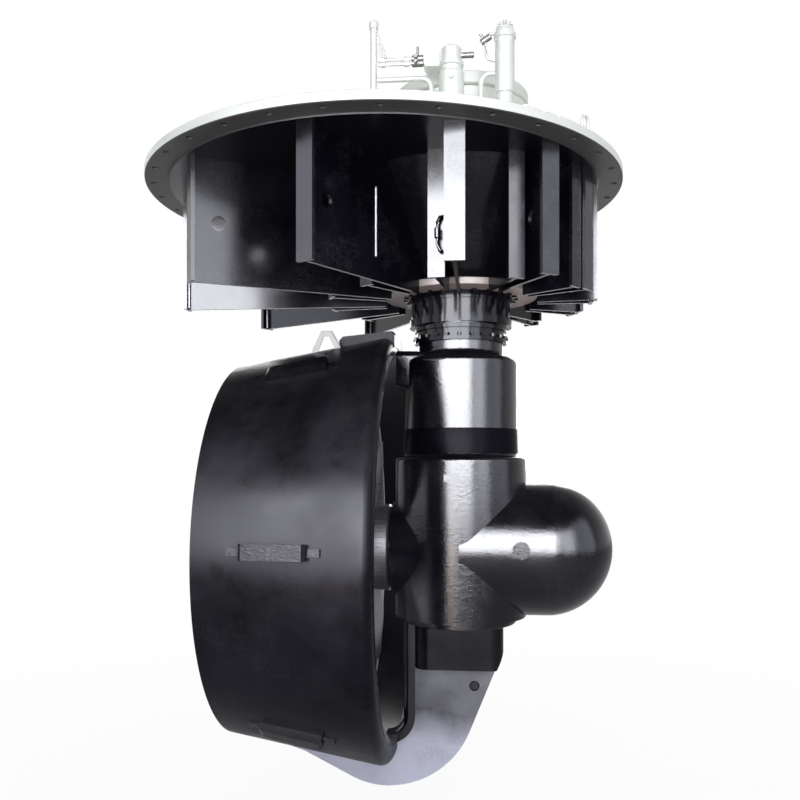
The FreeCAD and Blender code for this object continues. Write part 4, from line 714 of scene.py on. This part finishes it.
class THRUSTER_OT_deck_fittings(bpy.types.Operator):
    """Fit the nuts, valves, brace and studs of the oil lines and motors"""

    bl_idname = "thruster.deck_fittings"
    bl_label = "Deck fittings"

    def execute(self, context):
        pale = deck_paint("fitting_paint", (0.66, 0.67, 0.64), 0.35, dust=0.5)
        dark = deck_paint("valve_paint", (0.16, 0.16, 0.15), 0.35, dust=0.5)
        self.line_fittings(pale, dark)
        self.motor_fittings(pale, dark)
        self.canister_fittings(pale, dark)
        return {"FINISHED"}

    def line_fittings(self, pale, dark):
        """Union nuts on the control lines, valves at the block and a brace at the riser's head."""
        low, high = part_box("riser_pipe")
        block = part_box("valve_block")[0].x
        x, y = (low.x + high.x) / 2, (low.y + high.y) / 2
        upper = LINE_LEVELS[0]
        nuts = [drum_mesh("nut", (high.x + 0.012, y, level), (high.x + 0.042, y, level), 0.016, sides=6)
                for level in (*LINE_LEVELS, DRAIN_LEVEL)]
        nuts += [drum_mesh("nut", (block - 0.125, y, level), (block - 0.090, y, level), 0.016, sides=6)
                 for level in LINE_LEVELS]
        nuts += [rod_mesh("brace", [(x, y, high.z - 0.02), (x + 0.078, y, upper + 0.012)], 0.006),
                 rod_mesh("brace", [(x + 0.02, y, high.z - 0.09), (x + 0.052, y, upper + 0.012)], 0.005)]
        crisp_piece(joined(nuts, "line_nuts"), "line_nuts", pale, STEM)
        valves = []
        for level in LINE_LEVELS:
            cap = block - 0.05
            valves += [drum_mesh("valve", (block - 0.075, y, level), (block - 0.004, y, level), 0.021),
                       drum_mesh("cap", (cap, y, level), (cap, y - 0.045, level), 0.013, sides=6)]
        stem = block - 0.04
        valves.append(drum_mesh("stem", (stem, y, upper + 0.015), (stem, y, upper + 0.075), 0.007))
        crisp_piece(joined(valves, "line_valves"), "line_valves", dark, STEM)

    def motor_fittings(self, pale, dark):
        """Foot studs, a port and a lid nut on both motors, and a port stub on the near one."""
        meshes = []
        for name in ("steering_motor_1", "steering_motor_2"):
            low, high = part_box(name)
            x, y = (low.x + high.x) / 2, (low.y + high.y) / 2
            foot, port = low.z + 0.022, high.z - 0.20
            for turn in around(8, 22.5):
                at = (x + 0.090 * math.cos(turn), y + 0.090 * math.sin(turn))
                meshes.append(drum_mesh("stud", (*at, foot), (*at, foot + 0.026), 0.010, sides=6))
            meshes += [drum_mesh("port", (x, y - 0.055, port), (x, y - 0.092, port), 0.018, sides=6),
                       drum_mesh("lid_nut", (x, y, high.z - 0.004), (x, y, high.z + 0.022), 0.017, sides=6)]
        crisp_piece(joined(meshes, "motor_studs"), "motor_studs", pale, STEM)
        low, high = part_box("steering_motor_1")
        x, y, level = (low.x + high.x) / 2, (low.y + high.y) / 2, high.z - 0.045
        stub = drum_mesh("port_stub", (x + 0.055, y, level), (x + 0.135, y, level), 0.017)
        crisp_piece(stub, "port_stub", dark, STEM)

    def canister_fittings(self, pale, dark):
        """Relief valve, its return pipe, and the cap screws and knob of the oil canister."""
        low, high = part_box("oil_canister")
        x, y, top = (low.x + high.x) / 2, (low.y + high.y) / 2, high.z
        side, level = x - 0.056, top - 0.045
        bends = ((0.010, 0.0), (-0.035, 0.0), (-0.052, -0.012), (-0.060, -0.035), (-0.056, -0.115),
                 (-0.044, -0.150), (0.006, -0.165))
        meshes = [rod_mesh("return_pipe", [(side + out, y, level + rise) for out, rise in bends], 0.008)]
        for turn in around(8):
            at = (x + 0.042 * math.cos(turn), y + 0.042 * math.sin(turn))
            meshes.append(drum_mesh("screw", (*at, top - 0.006), (*at, top + 0.010), 0.007, sides=6))
        meshes.append(drum_mesh("lifting_knob", (x, y, top - 0.004), (x, y, top + 0.034), 0.012))
        crisp_piece(joined(meshes, "canister_pipe"), "canister_pipe", pale, STEM)
        body = (side - 0.086, y, level - 0.050), (side - 0.030, y, level - 0.012)
        handle = (side - 0.095, y, level + 0.002), (side - 0.060, y, level - 0.030)
        valve = [drum_mesh("body", *body, 0.019), drum_mesh("handle", *handle, 0.007)]
        crisp_piece(joined(valve, "canister_valve"), "canister_valve", dark, STEM)


class THRUSTER_OT_hull_fittings(bpy.types.Operator):
    """Fit the shackle on the near rib, the seam on its neighbour, the plug in the fin and the leg's taper"""

    bl_idname = "thruster.hull_fittings"
    bl_label = "Hull fittings"

    def execute(self, context):
        gloss = context.scene.thruster_paint.gloss
        black = black_paint("black_fitting", gloss, depth=0.0008)
        bright = turned_metal("bare_seam", (0.13, 0.13, 0.145), 0.45, metallic=0.5)
        self.shackle(black)
        self.rib_seam(bright)
        self.fin_plug(black)
        self.leg_taper(black_paint("black_taper", gloss * 1.8, cast=True, depth=0.0011, ior=1.06, dust=0.05))
        return {"FINISHED"}

    def shackle(self, black):
        """A bent rod shackle on the edge of the near rib's faceplate."""
        x, y = AXIS_X - 0.108, -0.923
        bow = [(x + 0.040, y + 0.028, -0.40), (x + 0.014, y + 0.002, -0.41), (x, y, -0.44), (x, y, -0.56),
               (x + 0.014, y + 0.002, -0.60), (x + 0.040, y + 0.028, -0.61)]
        meshes = [rod_mesh("bow", bow, 0.011), drum_mesh("collar", (x, y, -0.47), (x, y, -0.53), 0.019)]
        crisp_piece(joined(meshes, "shackle"), "shackle", black, STEM)

    def rib_seam(self, bright):
        """An upright weld seam down the side of the rib left of the near one."""
        turn = math.radians(-120)
        out = Vector((math.cos(turn), math.sin(turn), 0))
        side = Vector((-math.sin(turn), math.cos(turn), 0))
        foot = Vector((AXIS_X, 0, 0)) + out * 0.965 + side * 0.013
        ends = [foot + Vector((0, 0, level)) for level in (-0.20, -0.61)]
        finish_piece(bead_mesh("rib_seam", ends, 0.007, step=0.010), "rib_seam", bright, STEM)

    def fin_plug(self, black):
        """A plug in the fin's hole."""
        low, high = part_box("skeg_fin")
        x, z, recess = AXIS_X + 0.094, high.z - 0.118, 0.006
        plug = drum_mesh("fin_plug", (x, low.y + recess, z), (x, high.y - recess, z), 0.0335, sides=32)
        crisp_piece(plug, "fin_plug", black, UNIT)

    def leg_taper(self, black):
        """The dull tapered band where the leg's shank widens."""
        low, high = -1.745, -1.585
        buried = SHANK_RADIUS - 0.002
        profile = [(buried, high), (SHANK_RADIUS + 0.0015, high), (SHANK_RADIUS + 0.003, high - 0.004),
                   (SHANK_RADIUS + 0.008, low), (buried, low)]
        crisp_piece(turned_mesh("leg_taper", profile), "leg_taper", black, UNIT)


class THRUSTER_OT_stage(bpy.types.Operator):
    """Set the floor, the lamps, the background and the camera"""

    bl_idname = "thruster.stage"
    bl_label = "Stage"

    def execute(self, context):
        stage = context.scene.thruster_stage
        self.floor(context, stage)
        self.background(context, stage)
        self.lamps(context, stage)
        self.camera(context, stage)
        context.scene.view_settings.view_transform = "Standard"
        return {"FINISHED"}

    def floor(self, context, stage):
        """A plain white floor that the camera sees as white."""
        reach = 60.0
        mesh = bpy.data.meshes.new("floor")
        level = CAD_LOW.z - stage.floor_gap
        corners = [(x * reach, y * reach, level) for x, y in ((-1, -1), (1, -1), (1, 1), (-1, 1))]
        mesh.from_pydata(corners, [], [(0, 1, 2, 3)])
        piece = bpy.data.objects.new("floor", mesh)
        context.scene.collection.objects.link(piece)
        material, shader = new_material("floor_white", Base_Color=(0.88, 0.88, 0.88, 1.0), Roughness=0.9)
        tree = material.node_tree
        glow = tree.nodes.new("ShaderNodeEmission")
        mix = tree.nodes.new("ShaderNodeMixShader")
        path = tree.nodes.new("ShaderNodeLightPath")
        seen = math_node(tree, "MAXIMUM", path.outputs["Is Camera Ray"], path.outputs["Is Transmission Ray"])
        far = tree.nodes.new("ShaderNodeVectorMath")
        far.operation = "LENGTH"
        tree.links.new(stretched(tree), far.inputs[0])
        share = math_node(tree, "MULTIPLY", seen, span_node(tree, far.outputs["Value"], 3.0, 9.0, 0.90, 1.0))
        tree.links.new(share, mix.inputs[0])
        tree.links.new(shader.outputs[0], mix.inputs[1])
        tree.links.new(glow.outputs[0], mix.inputs[2])
        tree.links.new(mix.outputs[0], tree.nodes["Material Output"].inputs["Surface"])
        mesh.materials.append(material)

    def background(self, context, stage):
        """White to the eye, white behind the unit in reflections, and an even light on the object."""
        world = bpy.data.worlds.new("studio")
        context.scene.world = world
        world.use_nodes = True
        tree = world.node_tree
        plain = tree.nodes["Background"]
        plain.inputs["Color"].default_value = (0.96, 0.97, 1.0, 1.0)
        plain.inputs["Strength"].default_value = stage.sky
        white = tree.nodes.new("ShaderNodeBackground")
        white.inputs["Color"].default_value = (1.0, 1.0, 1.0, 1.0)
        path = tree.nodes.new("ShaderNodeLightPath")
        way = tree.nodes.new("ShaderNodeSeparateXYZ")
        tree.links.new(tree.nodes.new("ShaderNodeTexCoord").outputs["Generated"], way.inputs[0])
        behind = span_node(tree, way.outputs["Y"], -0.25, 0.25, 0.12, 1.0)
        below = span_node(tree, way.outputs["Z"], 0.15, 0.75, 1.0, 0.25)
        mirrored = math_node(tree, "MULTIPLY", path.outputs["Is Glossy Ray"],
                             math_node(tree, "MULTIPLY", behind, below))
        eye = math_node(tree, "MAXIMUM", path.outputs["Is Camera Ray"], path.outputs["Is Transmission Ray"])
        seen = math_node(tree, "MAXIMUM", eye, path.outputs["Is Glossy Ray"])
        tree.links.new(math_node(tree, "MAXIMUM", eye, mirrored), white.inputs["Strength"])
        mix = tree.nodes.new("ShaderNodeMixShader")
        tree.links.new(seen, mix.inputs[0])
        tree.links.new(plain.outputs[0], mix.inputs[1])
        tree.links.new(white.outputs[0], mix.inputs[2])
        tree.links.new(mix.outputs[0], tree.nodes["World Output"].inputs["Surface"])

    def lamp(self, context, name, place, size, radiance, mirrored=True, colour=(1.0, 1.0, 1.0)):
        """An area lamp that faces the unit; its place is a bearing and a rise in degrees, and a distance."""
        data = bpy.data.lights.new(name, "AREA")
        data.shape = "RECTANGLE"
        data.size, data.size_y = size
        data.energy = 4.0 * radiance * size[0] * size[1]
        data.color = colour
        lamp = bpy.data.objects.new(name, data)
        context.scene.collection.objects.link(lamp)
        turn, tilt, distance = math.radians(place[0]), math.radians(place[1]), place[2]
        way = Vector((math.cos(turn) * math.cos(tilt), math.sin(turn) * math.cos(tilt), math.sin(tilt)))
        lamp.location = LAMP_AIM + way * distance
        lamp.rotation_mode = "QUATERNION"
        lamp.rotation_quaternion = (-way).to_track_quat("-Z", "Y")
        lamp.visible_diffuse = not mirrored
        lamp.visible_glossy = mirrored

    def lamps(self, context, stage):
        """Plain lamps for the colours; a great window, the hall round it and a strip for the gloss."""
        window, hall, key = stage.window, stage.hall, stage.key
        cool, cold, warm = (0.86, 0.90, 1.0), (0.86, 0.89, 1.0), (1.0, 0.80, 0.66)
        self.lamp(context, "key", (-75.0, 28.0, 11.0), (8.0, 5.0), key, mirrored=False)
        self.lamp(context, "overhead", (-60.0, 75.0, 9.0), (6.0, 6.0), 0.7, mirrored=False)
        self.lamp(context, "window", (-99.0, 11.5, 10.6), (12.6, 6.6), window, colour=(0.93, 0.95, 1.0))
        self.lamp(context, "window_end", (-52.0, 11.0, 10.6), (4.6, 6.4), window * 0.34, colour=(0.90, 0.93, 1.0))
        self.lamp(context, "hall_right", (-20.0, 14.0, 10.6), (7.0, 8.0), hall * 0.8, colour=cool)
        self.lamp(context, "hall_left", (-160.0, 14.0, 10.6), (9.0, 7.0), hall, colour=cold)
        self.lamp(context, "back_window", (96.0, 14.0, 10.6), (9.0, 6.0), hall)
        self.lamp(context, "back_key", (110.0, 25.0, 11.0), (8.0, 5.0), key * 0.4, mirrored=False)
        self.lamp(context, "yard", (-106.0, -11.0, 9.0), (3.4, 1.5), hall * 2.2, colour=warm)

    def camera(self, context, stage):
        """A level camera where the photograph was taken from."""
        data = bpy.data.cameras.new("camera")
        data.sensor_width = 36.0
        data.lens = stage.lens
        data.shift_y = stage.rise
        data.clip_end = 200.0
        camera = bpy.data.objects.new("camera", data)
        context.scene.collection.objects.link(camera)
        camera.location = stage.eye
        camera.rotation_euler = (math.radians(90), 0.0, stage.pan)
        context.scene.camera = camera


class THRUSTER_PT_panel(bpy.types.Panel):
    """The thruster's operators and settings"""

    bl_label = "Azimuth thruster"
    bl_idname = "THRUSTER_PT_panel"
    bl_space_type = "VIEW_3D"
    bl_region_type = "UI"
    bl_category = "Thruster"

    def draw(self, context):
        for operator in OPERATORS:
            self.layout.operator(operator.bl_idname)
        for settings in (context.scene.thruster_paint, context.scene.thruster_stage):
            for name in settings.bl_rna.properties.keys():
                if name not in ("rna_type", "name"):
                    self.layout.prop(settings, name)


OPERATORS = (THRUSTER_OT_hull_paint, THRUSTER_OT_turned_rings, THRUSTER_OT_deck_machinery,
             THRUSTER_OT_machined_parts, THRUSTER_OT_propeller, THRUSTER_OT_lifting_lug, THRUSTER_OT_welds,
             THRUSTER_OT_deck_fittings, THRUSTER_OT_hull_fittings, THRUSTER_OT_stage)
CLASSES = (ThrusterPaint, ThrusterStage, *OPERATORS, THRUSTER_PT_panel)


def register():
    for item in CLASSES:
        bpy.utils.register_class(item)
    bpy.types.Scene.thruster_paint = bpy.props.PointerProperty(type=ThrusterPaint)
    bpy.types.Scene.thruster_stage = bpy.props.PointerProperty(type=ThrusterStage)


def unregister():
    del bpy.types.Scene.thruster_stage
    del bpy.types.Scene.thruster_paint
    for item in reversed(CLASSES):
        bpy.utils.unregister_class(item)


def main():
    """Register the add-on and build the looks and the stage."""
    register()
    bpy.ops.thruster.hull_paint()
    bpy.ops.thruster.turned_rings()
    bpy.ops.thruster.deck_machinery()
    bpy.ops.thruster.machined_parts()
    bpy.ops.thruster.propeller()
    bpy.ops.thruster.lifting_lug()
    bpy.ops.thruster.welds()
    bpy.ops.thruster.deck_fittings()
    bpy.ops.thruster.hull_fittings()
    bpy.ops.thruster.stage()


if __name__ == "__main__":
    main()
